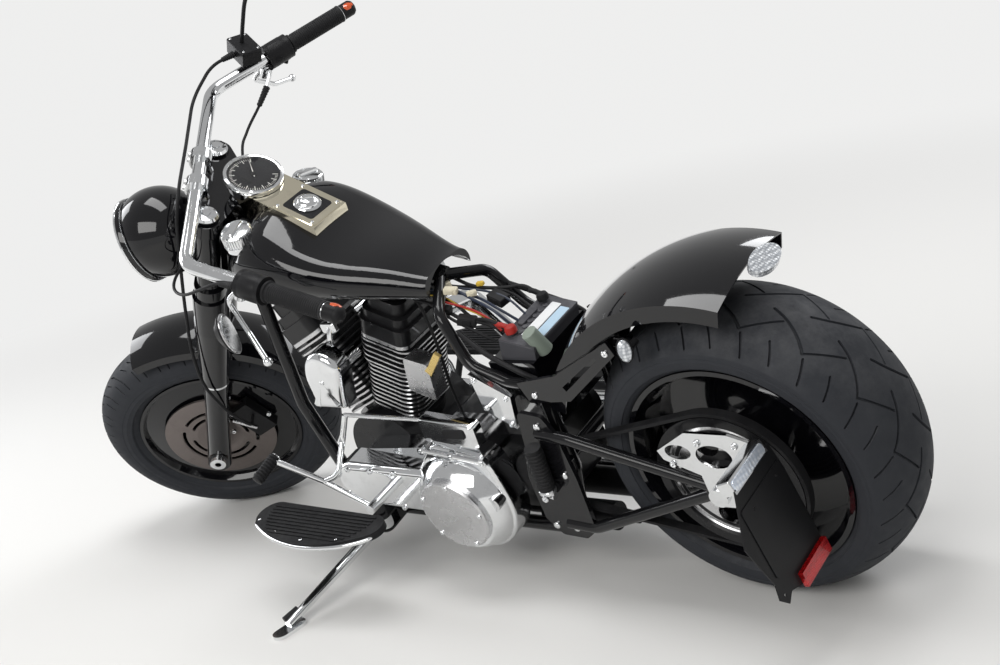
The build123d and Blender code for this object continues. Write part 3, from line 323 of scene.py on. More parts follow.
def cell_lens(name, pale, deep, size):
    """Shiny lens over rows of small cells."""
    finish = Finish(name, Coat_Weight=0.5, Coat_Roughness=0.05, Roughness=0.22, Metallic=0.55)
    cells = finish.add("TexVoronoi", Vector=finish.coordinates, Scale=1 / size, Randomness=0.25)
    share = finish.ramp(cells.outputs["Distance"], 0.18, 0.62)
    finish.set("Base Color", finish.mix(share, pale, deep))
    finish.bump(cells.outputs["Distance"], 0.4, 0.0015)
    return finish.material


def fluted_glass():
    """Bright pressed glass with upright flutes over its reflector."""
    silver = (0.66, 0.69, 0.72, 1)
    finish = Finish("fluted_glass", Base_Color=silver, Metallic=0.85, Coat_Weight=1.0, Roughness=0.16)
    on_lamp = finish.stretched(matrix=FORK)
    flutes = finish.add("TexWave", {"bands_direction": "Y"}, Vector=on_lamp, Scale=48.0)
    finish.bump(flutes.outputs["Fac"], 0.5, 0.0016)
    return finish.material


PAINTS = {
    # colour, roughness, coat, dust
    "gloss_black": ((0.003, 0.003, 0.004), 0.04, 1.0, 0.05),
    "frame_black": ((0.006, 0.006, 0.007), 0.12, 0.6, 0.3),
    "satin_black": ((0.010, 0.010, 0.011), 0.34, 0.0, 0.35),
    "engine_black": ((0.010, 0.010, 0.011), 0.26, 0.3, 0.35),
    "dial_black": ((0.012, 0.012, 0.014), 0.35, 0.0, 0.1),
}
METALS = {
    # colour, lowest and highest roughness, brushing
    "chrome": ((0.80, 0.81, 0.82), 0.04, 0.16),
    "polished_alloy": ((0.60, 0.60, 0.61), 0.2, 0.36),
    "disc_steel": ((0.20, 0.175, 0.165), 0.3, 0.5, 0.2),
    "brass": ((0.75, 0.56, 0.22), 0.22, 0.4),
    # chrome tinted gold for the dash console: the tint is a painted reflection of something golden
    "chrome_painted_gold_reflection": ((0.82, 0.76, 0.60), 0.05, 0.2),
}
MATTS = {
    # colour, roughness, scale and depth of the grain, dust
    "tyre": ((0.026, 0.028, 0.033), 0.72, 500, 0.2, 0.22),
    "rubber": ((0.009, 0.009, 0.010), 0.6, 700, 0.2, 0.06),
    "battery_grey": ((0.06, 0.06, 0.068), 0.5, 400, 0.2, 0.3),
    "dial_pale": ((0.75, 0.74, 0.70), 0.5, 300, 0.05, 0.05),
    "stripe_white": ((0.72, 0.73, 0.74), 0.42, 300, 0.05, 0.15),
    "stripe_blue": ((0.42, 0.56, 0.68), 0.42, 300, 0.05, 0.15),
    "connector_cream": ((0.62, 0.57, 0.44), 0.45, 300, 0.08, 0.25),
    "boot_red": ((0.33, 0.02, 0.015), 0.45, 300, 0.08, 0.2),
    "wire_blue": ((0.02, 0.028, 0.05), 0.4, 500, 0.08, 0.3),
    "wire_yellow": ((0.62, 0.42, 0.05), 0.45, 300, 0.08, 0.2),
    "capacitor_grey": ((0.22, 0.26, 0.22), 0.45, 300, 0.08, 0.3),
}
LENSES = {
    # colour, roughness, how clear it is
    "red_lens": ((0.36, 0.004, 0.006), 0.12, 0.0),
    "clear_lens": ((0.93, 0.95, 0.96), 0.05, 0.9),
    "dial_glass": ((1, 1, 1), 0.02, 1.0),
    "amber_lens": ((0.75, 0.10, 0.015), 0.12, 0.25),
}
CELL_LENSES = {
    # colour of a cell's middle, colour between the cells, size of a cell
    "led_lens": ((0.84, 0.86, 0.88), (0.36, 0.38, 0.41), 0.0065),
    "bar_lens": ((0.88, 0.92, 0.97), (0.62, 0.68, 0.78), 0.009),
    "reflector_red": ((0.62, 0.010, 0.012), (0.30, 0.003, 0.005), 0.004),
}
TABLES = ((paint, PAINTS), (plated, METALS), (matt, MATTS), (lens, LENSES), (cell_lens, CELL_LENSES))
FINISHES = {name: make(name, *row) for make, rows in TABLES for name, row in rows.items()}
FINISHES["dial_glass"].node_tree.nodes["Principled BSDF"].inputs["IOR"].default_value = 1.15

# The engine's cylinders: black, with the outer edges of their fins polished bright
CRANK = Vector((0.950, 0, 0.290))
CYLINDER_ANGLE = 22.5
FIN_HALF = (0.073, 0.079)
FIN_TOP = 0.336
FIN_BLACK = (0.014, 0.014, 0.015)
WHEEL_BLACK = (0.012, 0.012, 0.013)
BRIGHT_METAL = (0.62, 0.62, 0.63)


def finned_cylinders():
    """Black paint that gives way to bright metal on the rims of the fins of both cylinders."""
    finish = Finish("finned_cylinders", Specular_IOR_Level=0.2)
    normal = finish.add("NewGeometry").outputs["Normal"]
    rims = []
    for sign in (1, -1):
        along = BIKE @ Matrix.Translation(CRANK) @ turned(sign * CYLINDER_ANGLE, "Y")
        place = finish.add("SeparateXYZ", Vector=finish.stretched(matrix=along)).outputs
        across = zip((place["X"], place["Y"]), FIN_HALF)
        far = [finish.math("DIVIDE", finish.math("ABSOLUTE", reach), half) for reach, half in across]
        rim = finish.ramp(finish.math("MAXIMUM", *far), 0.9, 0.93)
        faces_up = finish.math("DOT_PRODUCT", normal, along.to_3x3() @ Vector((0, 0, 1)), kind="VectorMath")
        edge = finish.ramp(finish.math("ABSOLUTE", faces_up), 0.35, 0.25)
        own_side = finish.ramp(finish.product(place["X"], -sign), 0.06, 0.075, 1.0, 0.0)
        below_head = finish.ramp(place["Z"], FIN_TOP, FIN_TOP + 0.002, 1.0, 0.0)
        rims.append(finish.product(rim, edge, own_side, below_head))
    bright = finish.math("MAXIMUM", *rims)
    finish.set("Base Color", finish.mix(bright, FIN_BLACK, BRIGHT_METAL))
    finish.set("Metallic", bright)
    finish.set("Roughness", finish.ramp(finish.noise(60, 4), 0.3, 0.7, 0.22, 0.4))
    finish.bump(finish.noise(700, 3), 0.25, 0.0004)
    return finish.material


def ringed(name, centre, bright_rings):
    """A wheel part that is bright metal within some rings of radius and black elsewhere."""
    finish = Finish(name, Specular_IOR_Level=0.2)
    radius = finish.math("LENGTH", finish.stretched(matrix=Matrix.Translation(centre)), kind="VectorMath")
    share = 0.0
    for low, high in bright_rings:
        rising = finish.ramp(radius, low, low + 0.001)
        falling = finish.ramp(radius, high, high + 0.001, 1.0, 0.0)
        share = finish.math("MAXIMUM", finish.product(rising, falling), share)
    finish.set("Base Color", finish.mix(share, WHEEL_BLACK, BRIGHT_METAL))
    finish.set("Metallic", share)
    finish.set("Roughness", finish.ramp(finish.noise(30, 5), 0.3, 0.7, 0.14, 0.3))
    finish.bump(finish.noise(90, 3), 0.05, 0.0006)
    return finish.material


# Every node has the finish of its slot, apart from a few that look different on this machine
node_finishes = {entry["node"]: FINISHES[entry["material_slot"]] for entry in frame["record"]["subparts"]}
node_finishes.update(
    cylinders=finned_cylinders(),
    rear_pulley=ringed("pulley_metal", REAR_PLACE, ((0.155, 0.176), (0.182, 0.190))),
    crankcase=FINISHES["engine_black"],
    gearbox=FINISHES["engine_black"],
    # the dash console's chrome carries a painted gold reflection in its colour
    dash_console=FINISHES["chrome_painted_gold_reflection"],
    headlight_lens=fluted_glass(),
    tail_light=FINISHES["led_lens"],
    plate_reflector=FINISHES["reflector_red"],
)
for node, material in node_finishes.items():
    NODES[node].data.materials.clear()
    NODES[node].data.materials.append(material)


# Helpers for pieces, whose parts are each points, faces and the matrix that places them
def joined(name, parts, matrix, finish, body="frame", sharp=35.0):
    """One smooth object of many parts, with edges sharper than an angle kept sharp."""
    verts, faces = [], []
    for part_verts, part_faces, local in parts:
        base = len(verts)
        verts.extend(local @ Vector(v) for v in part_verts)
        faces.extend(tuple(base + i for i in face) for face in part_faces)
    mesh = bpy.data.meshes.new(name)
    mesh.from_pydata(verts, [], faces)
    mesh.transform(matrix)
    mesh.validate()
    piece = bpy.data.objects.new(name, mesh)
    bpy.context.scene.collection.objects.link(piece)
    work = bmesh.new()
    work.from_mesh(mesh)
    bmesh.ops.remove_doubles(work, verts=work.verts, dist=1e-6)
    bmesh.ops.recalc_face_normals(work, faces=work.faces)
    work.to_mesh(mesh)
    work.free()
    mesh.shade_smooth()
    mesh.set_sharp_from_angle(angle=math.radians(sharp))
    mesh.materials.append(FINISHES[finish])
    if body:
        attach(piece, body)
    return piece


def on_bike(name, finish, *parts, body="frame", sharp=35.0):
    """A piece in the upright machine's frame, in millimetres."""
    return joined(name, parts, BIKE_MM, finish, body, sharp)


def on_fork(name, finish, *parts):
    """A piece in the fork's frame, in millimetres, that turns with the bar."""
    return joined(name, parts, FORK_MM, finish, "steering")


def circle(radius, count, middle=(0, 0), start=0.0, step=None):
    """Points round a circle, evenly all round or at a step in degrees."""
    angles = [math.radians(start + i * (step or 360 / count)) for i in range(count)]
    return [(middle[0] + radius * math.cos(a), middle[1] + radius * math.sin(a)) for a in angles]


def bands(rings, n):
    """Faces between neighbouring rings of n points each."""
    return [
        (r * n + i, r * n + (i + 1) % n, (r + 1) * n + (i + 1) % n, (r + 1) * n + i)
        for r in range(rings - 1) for i in range(n)
    ]


def lathe(profile, steps):
    """Points and faces of a profile of (radius, height) turned about Z."""
    return [(x, y, h) for r, h in profile for x, y in circle(r, steps)], bands(len(profile), steps)


def at(origin, direction=(0, 0, 1), turn=0.0):
    """A matrix in a frame whose Z looks along a direction."""
    quat = Vector(direction).normalized().to_track_quat("Z", "Y")
    return Matrix.Translation(Vector(origin)) @ quat.to_matrix().to_4x4() @ Matrix.Rotation(turn, 4, "Z")


def turned_part(profile, origin, direction=(0, 0, 1), steps=32):
    """A profile of (radius, height) turned about a direction from an origin."""
    return (*lathe(profile, steps), at(origin, direction))


def ribs(profile, count, step):
    """A short profile repeated along a turned part."""
    return [(r, h + i * step) for i in range(count) for r, h in profile]


def catmull(points, steps):
    """A smooth run of points through the given ones."""
    points = [Vector(p) for p in points]
    ends = [2 * points[0] - points[1], *points, 2 * points[-1] - points[-2]]
    run = []
    for a, b, c, d in zip(ends, ends[1:], ends[2:], ends[3:]):
        for i in range(steps):
            t = i / steps
            run.append(0.5 * (2 * b + (c - a) * t + (2 * a - 5 * b + 4 * c - d) * t**2
                              + (3 * b - a - 3 * c + d) * t**3))
    run.append(points[-1])
    return run


def ahead_of(run, i):
    """The direction of a run of points at one of them."""
    return (run[min(i + 1, len(run) - 1)] - run[max(i - 1, 0)]).normalized()


def tube(points, radius, sides=12, steps=6):
    """A round cord or rod along a smooth run through some points, closed at both ends."""
    run = catmull(points, steps) if len(points) > 2 else [Vector(p) for p in points]
    verts = []
    across = Vector((0, 0, 1))
    for i, point in enumerate(run):
        ahead = ahead_of(run, i)
        if abs(ahead.dot(across)) > 0.97:
            across = Vector((0, 1, 0)) if abs(ahead.y) < 0.9 else Vector((1, 0, 0))
        across = (across - ahead * across.dot(ahead)).normalized()
        other = ahead.cross(across)
        verts += [point + x * across + y * other for x, y in circle(radius, sides)]
    last = len(verts) - sides
    ends = [tuple(range(sides)), tuple(range(last, last + sides))]
    return verts, bands(len(run), sides) + ends, ON_PIECES


def slab(outline, low, high, bevel, place):
    """An outline in X and Y, thick along Z, with its upper edge bevelled."""
    middle = sum((Vector(p) for p in outline), Vector((0, 0))) / len(outline)
    n = len(outline)
    verts = [(x, y, low) for x, y in outline] + [(x, y, high - bevel) for x, y in outline]
    for x, y in outline:
        inward = (middle - Vector((x, y))).normalized() * bevel
        verts.append((x + inward.x, y + inward.y, high))
    return verts, bands(3, n) + [tuple(range(n)), tuple(range(2 * n, 3 * n))], place


def rounded(width, height, corner, steps=5):
    """A rectangle's outline with round corners."""
    points = []
    for index, (sx, sy) in enumerate(((1, 1), (-1, 1), (-1, -1), (1, -1))):
        middle = (sx * (width / 2 - corner), sy * (height / 2 - corner))
        points += circle(corner, steps + 1, middle, 90 * index, 90 / steps)
    return points


def strip(start, end, half, end_half=None):
    """The outline of a narrow strip along X, which may taper."""
    other = half if end_half is None else end_half
    return [(start, -half), (end, -other), (end, other), (start, half)]


def bolt(origin, direction, radius, height, socket=True):
    """A round bolt head with a hollow for its key, or a plain domed one."""
    r, h = radius, height
    hollow = [(0.5 * r, h), (0.44 * r, 0.5 * h), (0.01, 0.46 * h)]
    dome = [(0.5 * r, 1.22 * h), (0.01, 1.3 * h)]
    profile = [(r, -1.0), (r, 0.72 * h), (0.86 * r, h)] + (hollow if socket else dome)
    return turned_part(profile, origin, direction, 16)


def bolts(places, y, radius, height, socket=True):
    """Bolt heads at places of X and Z, looking out to the side that Y is on."""
    return [bolt((x, y, z), (0, math.copysign(1, y), 0), radius, height, socket) for x, z in places]


def hexagon(origin, direction, radius, height):
    """A six-sided nut or bolt head with a chamfered top."""
    return slab(circle(radius, 6), -1.0, height, 0.12 * radius, at(origin, direction))


# Tyres: a crown cut with grooves, and side walls turned on a lathe
REAR_TYRE = {
    "radius": REAR_RADIUS, "half": 0.122, "shoulder": 0.277,
    "pitches": 16, "groove_depth": 0.005, "cell": 0.011,
    # each groove: width, then points of (degrees along the tread, distance from the middle in mm)
    "grooves": (
        (0.0064, ((0, 8), (5, 22), (10, 42), (13.6, 60), (15.4, 71))),
        (0.0050, ((16.4, 77), (18.2, 97), (19.6, 115))),
        (0.0048, ((15.5, 70), (21.6, 50), (27.4, 29))),
        (0.0044, ((4.2, 75), (6.1, 93), (7.7, 111))),
    ),
    # each point of the side: radius, distance from the middle
    "side": (
        (0.275, 0.1228), (0.268, 0.1236), (0.2665, 0.1229), (0.262, 0.1232), (0.2605, 0.1238),
        (0.250, 0.1225), (0.2445, 0.1212), (0.2435, 0.1190), (0.238, 0.1150), (0.2325, 0.1065),
        (0.2322, 0.104),
    ),
}
FRONT_TYRE = {
    "radius": 0.317, "half": 0.069, "shoulder": 0.268,
    "pitches": 26, "groove_depth": 0.004, "cell": 0.009,
    "grooves": (
        (0.0045, ((0, 6), (3.2, 18), (6.0, 33), (8.0, 46))),
        (0.0040, ((2.2, 40), (3.4, 52), (4.2, 62))),
        (0.0040, ((8.6, 50), (9.4, 62))),
        (0.0034, ((9.0, 14), (13.0, 30))),
    ),
    "side": (
        (0.264, 0.0698), (0.256, 0.0704), (0.2545, 0.0697), (0.247, 0.0702), (0.2455, 0.0706),
        (0.232, 0.0672), (0.2285, 0.0640), (0.2275, 0.0615), (0.219, 0.0560), (0.2125, 0.0505),
        (0.2122, 0.049),
    ),
}
GROOVE_WALL = 0.0011


def ribbon(run, half):
    """A closed outline round a run of points, with rounded ends."""
    left, right = [], []
    for i, point in enumerate(run):
        ahead = ahead_of(run, i)
        normal = Vector((-ahead.y, ahead.x))
        left.append(point + half * normal)
        right.append(point - half * normal)
    first = (run[0] - run[1]).normalized() * half * 0.9
    last = (run[-1] - run[-2]).normalized() * half * 0.9
    return left + [run[-1] + last] + right[::-1] + [run[0] + first]


def inside(point, outline):
    hit = False
    for a, b in zip(outline, outline[1:] + outline[:1]):
        if (a.y > point.y) != (b.y > point.y):
            if point.x < (b.x - a.x) * (point.y - a.y) / (b.y - a.y) + a.x:
                hit = not hit
    return hit


def tread(tyre, edge):
    """Points along and across the crown, their depths and their faces, flat until they are wrapped."""
    length = 2 * math.pi * tyre["radius"]
    pitch = length / tyre["pitches"]
    points, edges, floors = [], [], []
    for side, shift in ((1, 0.0), (-1, 0.5)):
        for index in range(-2, tyre["pitches"] + 1):
            for width, run in tyre["grooves"]:
                start = (index + shift) * pitch
                line = catmull([(start + a * length / 360, side * 0.001 * y) for a, y in run], 4)
                outer = ribbon(line, width / 2)
                if max(p.x for p in outer) < -0.02 or min(p.x for p in outer) > length + 0.02:
                    continue
                inner = ribbon(line, width / 2 - GROOVE_WALL)
                for ring in (outer, inner):
                    base, n = len(points), len(ring)
                    points.extend(ring)
                    edges.extend((base + i, base + (i + 1) % n) for i in range(n))
                floors.append((min(p.x for p in inner), max(p.x for p in inner), inner))
    columns = tyre["pitches"] * max(4, round(pitch / tyre["cell"]))
    rows = max(6, round(2 * edge / tyre["cell"]))
    seams = []
    for u in (0.0, length):
        base = len(points)
        points.extend(Vector((u, -edge + 2 * edge * k / rows)) for k in range(rows + 1))
        edges.extend((base + k, base + k + 1) for k in range(rows))
        seams.append(base)
    for v, k in ((-edge, 0), (edge, rows)):
        base = len(points)
        points.extend(Vector((length * i / columns, v)) for i in range(1, columns))
        chain = [seams[0] + k, *range(base, base + columns - 1), seams[1] + k]
        edges.extend(zip(chain, chain[1:]))
    for i in range(1, columns):
        for k in range(1, rows):
            p = Vector((length * (i + 0.5 * (k % 2)) / columns, -edge + 2 * edge * k / rows))
            if p.x < length - 0.003:
                points.append(p)
    verts, _, faces, _, _, _ = delaunay_2d_cdt(points, edges, [], 0, 1e-5)
    depth = [0.0] * len(verts)
    kept = []
    for face in faces:
        middle = sum((verts[i] for i in face), Vector((0, 0))) / len(face)
        if -1e-6 < middle.x < length + 1e-6 and abs(middle.y) <= edge:
            kept.append(face)
            if any(low < middle.x < high and inside(middle, floor) for low, high, floor in floors):
                for i in face:
                    depth[i] = tyre["groove_depth"]
    return verts, depth, kept, columns


def make_tyre(name, node, tyre, matrix, body):
    """Wraps the crown round the hub and adds both side walls."""
    radius, half = tyre["radius"], tyre["half"]
    drop = radius - tyre["shoulder"]
    crown = (half**2 + drop**2) / (2 * drop)
    edge = half * 0.995
    verts, depth, faces, columns = tread(tyre, edge)
    points = []
    for v, d in zip(verts, depth):
        share = 1 - d / crown
        reach = radius - crown + share * math.sqrt(crown**2 - v.y**2)
        angle = v.x / radius
        points.append((reach * math.cos(angle), share * v.y, reach * math.sin(angle)))
    parts = [(points, faces, ON_PIECES)]
    edge_radius = radius - crown + math.sqrt(crown**2 - edge**2)
    for side, _ in SIDES:
        profile = [(edge_radius, side * edge)] + [(r, side * y) for r, y in tyre["side"]]
        wall, wall_faces = lathe(profile, columns)
        parts.append(([(x, z, y) for x, y, z in wall], wall_faces, ON_PIECES))
    piece = joined(name, parts, matrix, "tyre", body, 28)
    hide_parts(node)


REAR_WHEEL = BIKE @ moved(0, 0, REAR_RADIUS)
FRONT_WHEEL = FORK @ Matrix.Translation(FORK.inverted() @ FRONT_PLACE)
make_tyre("rear_tyre_tread", "rear_tyre", REAR_TYRE, REAR_WHEEL, "rear_wheel")
make_tyre("front_tyre_tread", "front_tyre", FRONT_TYRE, FRONT_WHEEL, "front_wheel")

# Speedometer: bezel, dial with ticks and needle, and its glass
SPEEDO = Vector((1077, 0, 989))
SPEEDO_UP = Vector((-math.sin(RAKE), 0, math.cos(RAKE)))
DIAL_PLACE = at(SPEEDO, SPEEDO_UP)


def on_dial(name, finish, profile, steps, *others):
    on_bike(name, finish, turned_part(profile, SPEEDO, SPEEDO_UP, steps), *others)


on_dial("speedometer_bezel", "chrome",
        [(67.5, -6), (68.5, 1), (67, 5.5), (63, 7.2), (59.5, 5.8), (58, 1.2), (57.6, -0.5)], 72)
on_dial("speedometer_dial", "dial_black", [(58, 0.6), (40, 0.6), (0.01, 0.6)], 64)
marks = []
for index in range(49):
    tick = strip(42, 54, 0.95) if index % 4 == 0 else strip(48, 54, 0.45)
    marks.append(slab(tick, 0.4, 1.3, 0.05, DIAL_PLACE @ turned(48 + 5.5 * index)))
marks.append(slab(strip(-10, 47, 1.3, 0.5), 2.4, 3.4, 0.2, DIAL_PLACE @ turned(52)))
on_bike("speedometer_marks", "dial_pale", *marks)
window_place = DIAL_PLACE @ moved(-24, 0, 0) @ turned(90)
on_dial("speedometer_hub", "satin_black", [(6.5, 0.6), (6.5, 3.8), (5, 4.8), (0.01, 5)], 24,
        slab(rounded(30, 9, 2), 0.5, 1.5, 0.4, window_place))
on_dial("speedometer_glass", "dial_glass", [(58.6, 4.6), (40, 6.4), (20, 7.4), (0.01, 7.8)], 48)

# Dash console: a dark inset with a domed switch, and bolts
CONSOLE_REAR = Vector((896, 0, 874))
CONSOLE_SLOPE = math.degrees(math.atan2(84, 150))
CONSOLE_PLACE = Matrix.Translation(CONSOLE_REAR) @ turned(-CONSOLE_SLOPE, "Y")
CONSOLE_UP = CONSOLE_PLACE.to_3x3() @ Vector((0, 0, 1))
SWITCH_PLACE = CONSOLE_PLACE @ moved(62, 0, 0)
# The console's frame is chrome with a painted gold reflection in its colour
on_bike("console_frame", "chrome_painted_gold_reflection", slab(rounded(118, 106, 12), -1, 2.2, 1.6, SWITCH_PLACE))
on_bike("console_inset", "satin_black", slab(rounded(84, 76, 8), 1.6, 3.0, 0.8, SWITCH_PLACE))
on_bike(
    "console_switch", "chrome",
    turned_part([(30, 2.4), (31, 6), (29, 8), (24, 8.5), (23.5, 10), (20, 15), (12, 18.4), (0.01, 19.4)],
                SWITCH_PLACE.translation, CONSOLE_UP, 48),
    slab(strip(-13, 13, 2.6), 17.4, 23.5, 1.2, SWITCH_PLACE @ turned(51.566)),
    *[bolt(CONSOLE_PLACE @ Vector((x, y, 2)), CONSOLE_UP, 4.2, 2.6) for x in (14, 110) for y in (44, -44)],
)

# Fuel caps: a knurled rim and a raised bar on each
cap_parts = []
for side, _ in SIDES:
    up = Vector((-0.3, side * 0.16, 1)).normalized()
    base = Vector((1070, side * 120, 880))
    top = base + 40 * up
    cap_parts.append(turned_part([(34.5, -1), (34.8, 1.5), (32, 4), (20, 5.4), (0.01, 6)], top, up, 40))
    cap_parts.append(turned_part([(38, -1), (38, 2), (36, 3.5), (34, 3.6)], base + 14 * up, up, 40))
    cap_parts.append(slab(rounded(54, 12, 5), 3, 10.5, 2.5, at(top, up, 0.7 * side)))
    for index in range(36):
        cap_parts.append(slab(strip(35.2, 36.6, 1.1, 0.6), 18, 38, 0.5, at(base, up) @ turned(10 * index)))
on_bike("fuel_cap_trim", "chrome", *cap_parts)

# Battery: two blank stripes, a lid with its vents, and terminals with boots
BATTERY_PLACE = moved(452, 0, 528) @ turned(-14, "Y")
BATTERY_TURN = BATTERY_PLACE.to_3x3()
BATTERY_UP = BATTERY_TURN @ Vector((0, 0, 1))
for colour, length, x, y in (("white", 124, -4, -6), ("blue", 112, -29, -4)):
    stripe = slab(rounded(22, length, 2), 69.6, 70.6, 0.3, BATTERY_PLACE @ moved(x, y, 0))
    on_bike(f"battery_stripe_{colour}", f"stripe_{colour}", stripe)
VENT = [(6, 69), (6, 72.5), (4.5, 73.4), (0.01, 73.6)]
on_bike(
    "battery_lid", "battery_grey", slab(rounded(88, 174, 6), 60, 69.9, 2.5, BATTERY_PLACE),
    slab(rounded(14, 60, 3), 69, 76, 1.5, BATTERY_PLACE @ moved(26, 0, 0)),
    *[turned_part(VENT, BATTERY_PLACE @ Vector((14, y, 0)), BATTERY_UP, 16) for y in range(-50, 51, 20)],
)
on_bike("battery_terminals", "brass",
        *[hexagon(BATTERY_PLACE @ Vector((26, y, 82.3)), BATTERY_UP, 9, 6) for y in (62, -62)])

# Wiring from the battery to the tank's open rear end: each row is a colour, a radius and its route
WIRES = (
    ("wire_blue", 3.2, ((470, 40, 610), (500, 44, 650), (556, 30, 668), (612, 22, 690), (672, 30, 694))),
    ("wire_blue", 3.0, ((468, 18, 606), (508, 26, 646), (566, 8, 660), (620, 14, 676), (676, 24, 684))),
    ("wire_blue", 2.6, ((470, -10, 604), (512, -18, 640), (572, -26, 654), (626, -16, 668), (678, -22, 680))),
    ("rubber", 4.2, ((476, 52, 600), (520, 62, 630), (580, 60, 640), (640, 50, 664), (690, 44, 676))),
    ("rubber", 3.4, ((500, 70, 590), (540, 78, 622), (596, 72, 648), (650, 56, 672), (700, 50, 684))),
    ("rubber", 3.4, ((480, -44, 598), (530, -52, 632), (590, -46, 650), (650, -30, 664), (700, -26, 676))),
    ("wire_yellow", 1.8, ((520, 30, 612), (548, 42, 640), (590, 40, 658), (630, 36, 680), (664, 44, 690))),
    ("boot_red", 2.6, ((482, 62, 612), (516, 54, 640), (560, 46, 655), (604, 50, 672), (640, 54, 684))),
)
for index, (colour, radius, route) in enumerate(WIRES):
    on_bike(f"wire_{index}", colour, tube(route, radius, 10, 7))
CONNECTORS = (
    # colour, middle, size along X, Y and Z, turn about Z and Y in degrees
    ("connector_cream", (604, 34, 694), (30, 16, 13), 20, -14),
    ("connector_cream", (642, 2, 690), (26, 14, 12), -30, 4),
    ("connector_cream", (566, 18, 676), (22, 13, 11), 50, -10),
    ("wire_yellow", (584, -34, 668), (18, 10, 8), 10, 0),
    ("rubber", (620, 60, 664), (36, 20, 16), 12, -20),
    ("rubber", (560, 66, 640), (40, 22, 18), 24, -24),
    ("rubber", (536, -20, 640), (44, 30, 18), -12, -16),
)
for index, (colour, place, (dx, dy, dz), yaw, tip) in enumerate(CONNECTORS):
    spot = moved(*place) @ turned(yaw) @ turned(tip, "Y")
    on_bike(f"connector_{index}", colour, slab(rounded(dx, dy, 2.5), -dz / 2, dz / 2, 1.8, spot),
            slab(rounded(0.5 * dx, dy + 3, 1.5), -dz / 2 + 2, dz / 2 - 2, 0.8, spot))
BOOT_CAP = [(13, -6), (13.5, 2), (11, 8), (6, 10.5), (0.01, 11)]
for (side, word), colour in zip(SIDES, ("boot_red", "rubber")):
    top = BATTERY_PLACE @ Vector((26, 62 * side, 83))
    lead = [top + Vector(step) for step in ((4, 0, 6), (16, side * 2, 12), (30, side * 2, 14))]
    cap = turned_part(BOOT_CAP, top, BATTERY_TURN @ Vector((0.25, 0, 1)), 20)
    on_bike(f"terminal_boot_{word}", colour, cap, tube(lead, 5.5, 12, 4))
can = [(0.01, 0), (15, 0), (17, 2), (17, 58), (15, 60), (0.01, 60)]
on_bike("capacitor", "capacitor_grey", turned_part(can, (392, 56, 560), (0.2, 0.3, 1), 28))
PAN_RIM = ((396, 112, 528), (430, 118, 552), (500, 112, 588), (566, 96, 628))
pan_rims = [tube([(x, side * y, z) for x, y, z in PAN_RIM], 6) for side, _ in SIDES]
on_bike("seat_pan_rims", "satin_black", *pan_rims)

# Bar controls: ribbed grips, housings with their switches, reservoir, rubber boots on the cables
BAR_CORNER = Vector((85.0, 303.0, 1186.0))
BAR_END = Vector((-215.0, 521.0, 1285.0))
# Shares of the way from the bar's corner to its end
GRIP_START = 0.598
HOUSING_START = 0.42
AXLE = Vector((58.6, 0.0, 339.9))


def along_bar(share, side):
    return BAR_CORNER.lerp(BAR_END, share) * Vector((1, side, 1))


# each point: radius, then distance along the bar from the grip's inner end
SLEEVE = [
    (17, 0), (23.5, 1), (23.5, 6), (20.2, 8),
    *ribs(((20.2, 12), (21.2, 12.9), (21.2, 15.4), (20.2, 16.3)), 26, 5.2),
    (21.6, 150), (22, 154), (17, 155),
]
HOUSING = [(27, -2), (30.4, 0), (30.8, 8), (30.2, 10), (30.8, 12), (30.8, 50), (28, 63), (20, 66)]
grip_parts, ring_parts, lens_parts, housing_parts = [], [], [], []
for side, _ in SIDES:
    end = along_bar(1, side)
    way = (end - along_bar(0, side)).normalized()
    grip_parts.append(turned_part(SLEEVE, along_bar(GRIP_START, side), way, 40))
    grip_parts.append(turned_part([(19.4, 26), (19, 32), (15, 38), (8, 41), (0.01, 42)], end, way))
    ring_parts.append(turned_part([(17, -2), (20.2, -2), (20.4, 0), (20.2, 1.6), (17, 1.6)], end, way, 40))
    back = Vector((-0.55, 0, 0.83))
    back = (back - way * back.dot(way)).normalized()
    spot = basis(way, back.cross(way), back, end + 20 * way + 14.5 * back)
    lens_shape = lathe([(1, -0.6), (1, 0), (0.9, 0.5), (0.55, 0.85), (0.01, 1)], 28)
    lens_parts.append((*lens_shape, spot @ Matrix.Diagonal((17, 10, 6.5, 1))))
    housing_parts.append(turned_part(HOUSING, along_bar(HOUSING_START, side), way, 40))
    for share, height in ((0.455, 12), (0.49, 0)):
        spot = along_bar(share, side) + Vector((-26, 0, height))
        housing_parts.append(slab(rounded(15, 12, 3), -3, 9, 2, at(spot, (-0.8, 0, 0.3))))
        button = [(6, 0), (6, 7), (4.5, 9), (0.01, 9.4)]
        housing_parts.append(turned_part(button, spot + Vector((4, 0, -22)), (-0.9, 0, -0.2), 16))
on_fork("grip_ribs", "rubber", *grip_parts)
on_fork("grip_end_rings", "chrome", *ring_parts)
on_fork("bar_end_lenses", "amber_lens", *lens_parts)
on_fork("switch_buttons", "satin_black", *housing_parts)
LID_PLACE = moved(10, -372, 1262) @ turned(35)
on_fork("master_lid", "satin_black", slab(rounded(56, 78, 7), 15, 21, 2, LID_PLACE))
screws = [bolt(LID_PLACE @ Vector((x, y, 20.4)), (0, 0, 1), 3.4, 2.2) for x in (20, -20) for y in (31, -31)]
for side, _ in SIDES:
    screws.append(bolt((-40, side * 388, 1207), (0.2, 0, 1), 8, 4))
    screws.append(bolt((-36, side * 388, 1181), (0.2, 0, -1), 7, 4))
on_fork("bar_control_screws", "chrome", *screws)


def boot(start, end, radius_a, radius_b):
    """A ribbed rubber sleeve between two points of a cable."""
    start, end = Vector(start), Vector(end)
    reach = (end - start).length
    profile = [(radius_a * 0.7, 0)]
    for index in range(7):
        share = index / 6
        radius = radius_a + share * (radius_b - radius_a)
        profile += [(radius, (0.06 + 0.8 * share) * reach), (radius * 0.84, (0.13 + 0.8 * share) * reach)]
    profile.append((0.01, reach))
    return turned_part(profile, start, end - start, 20)


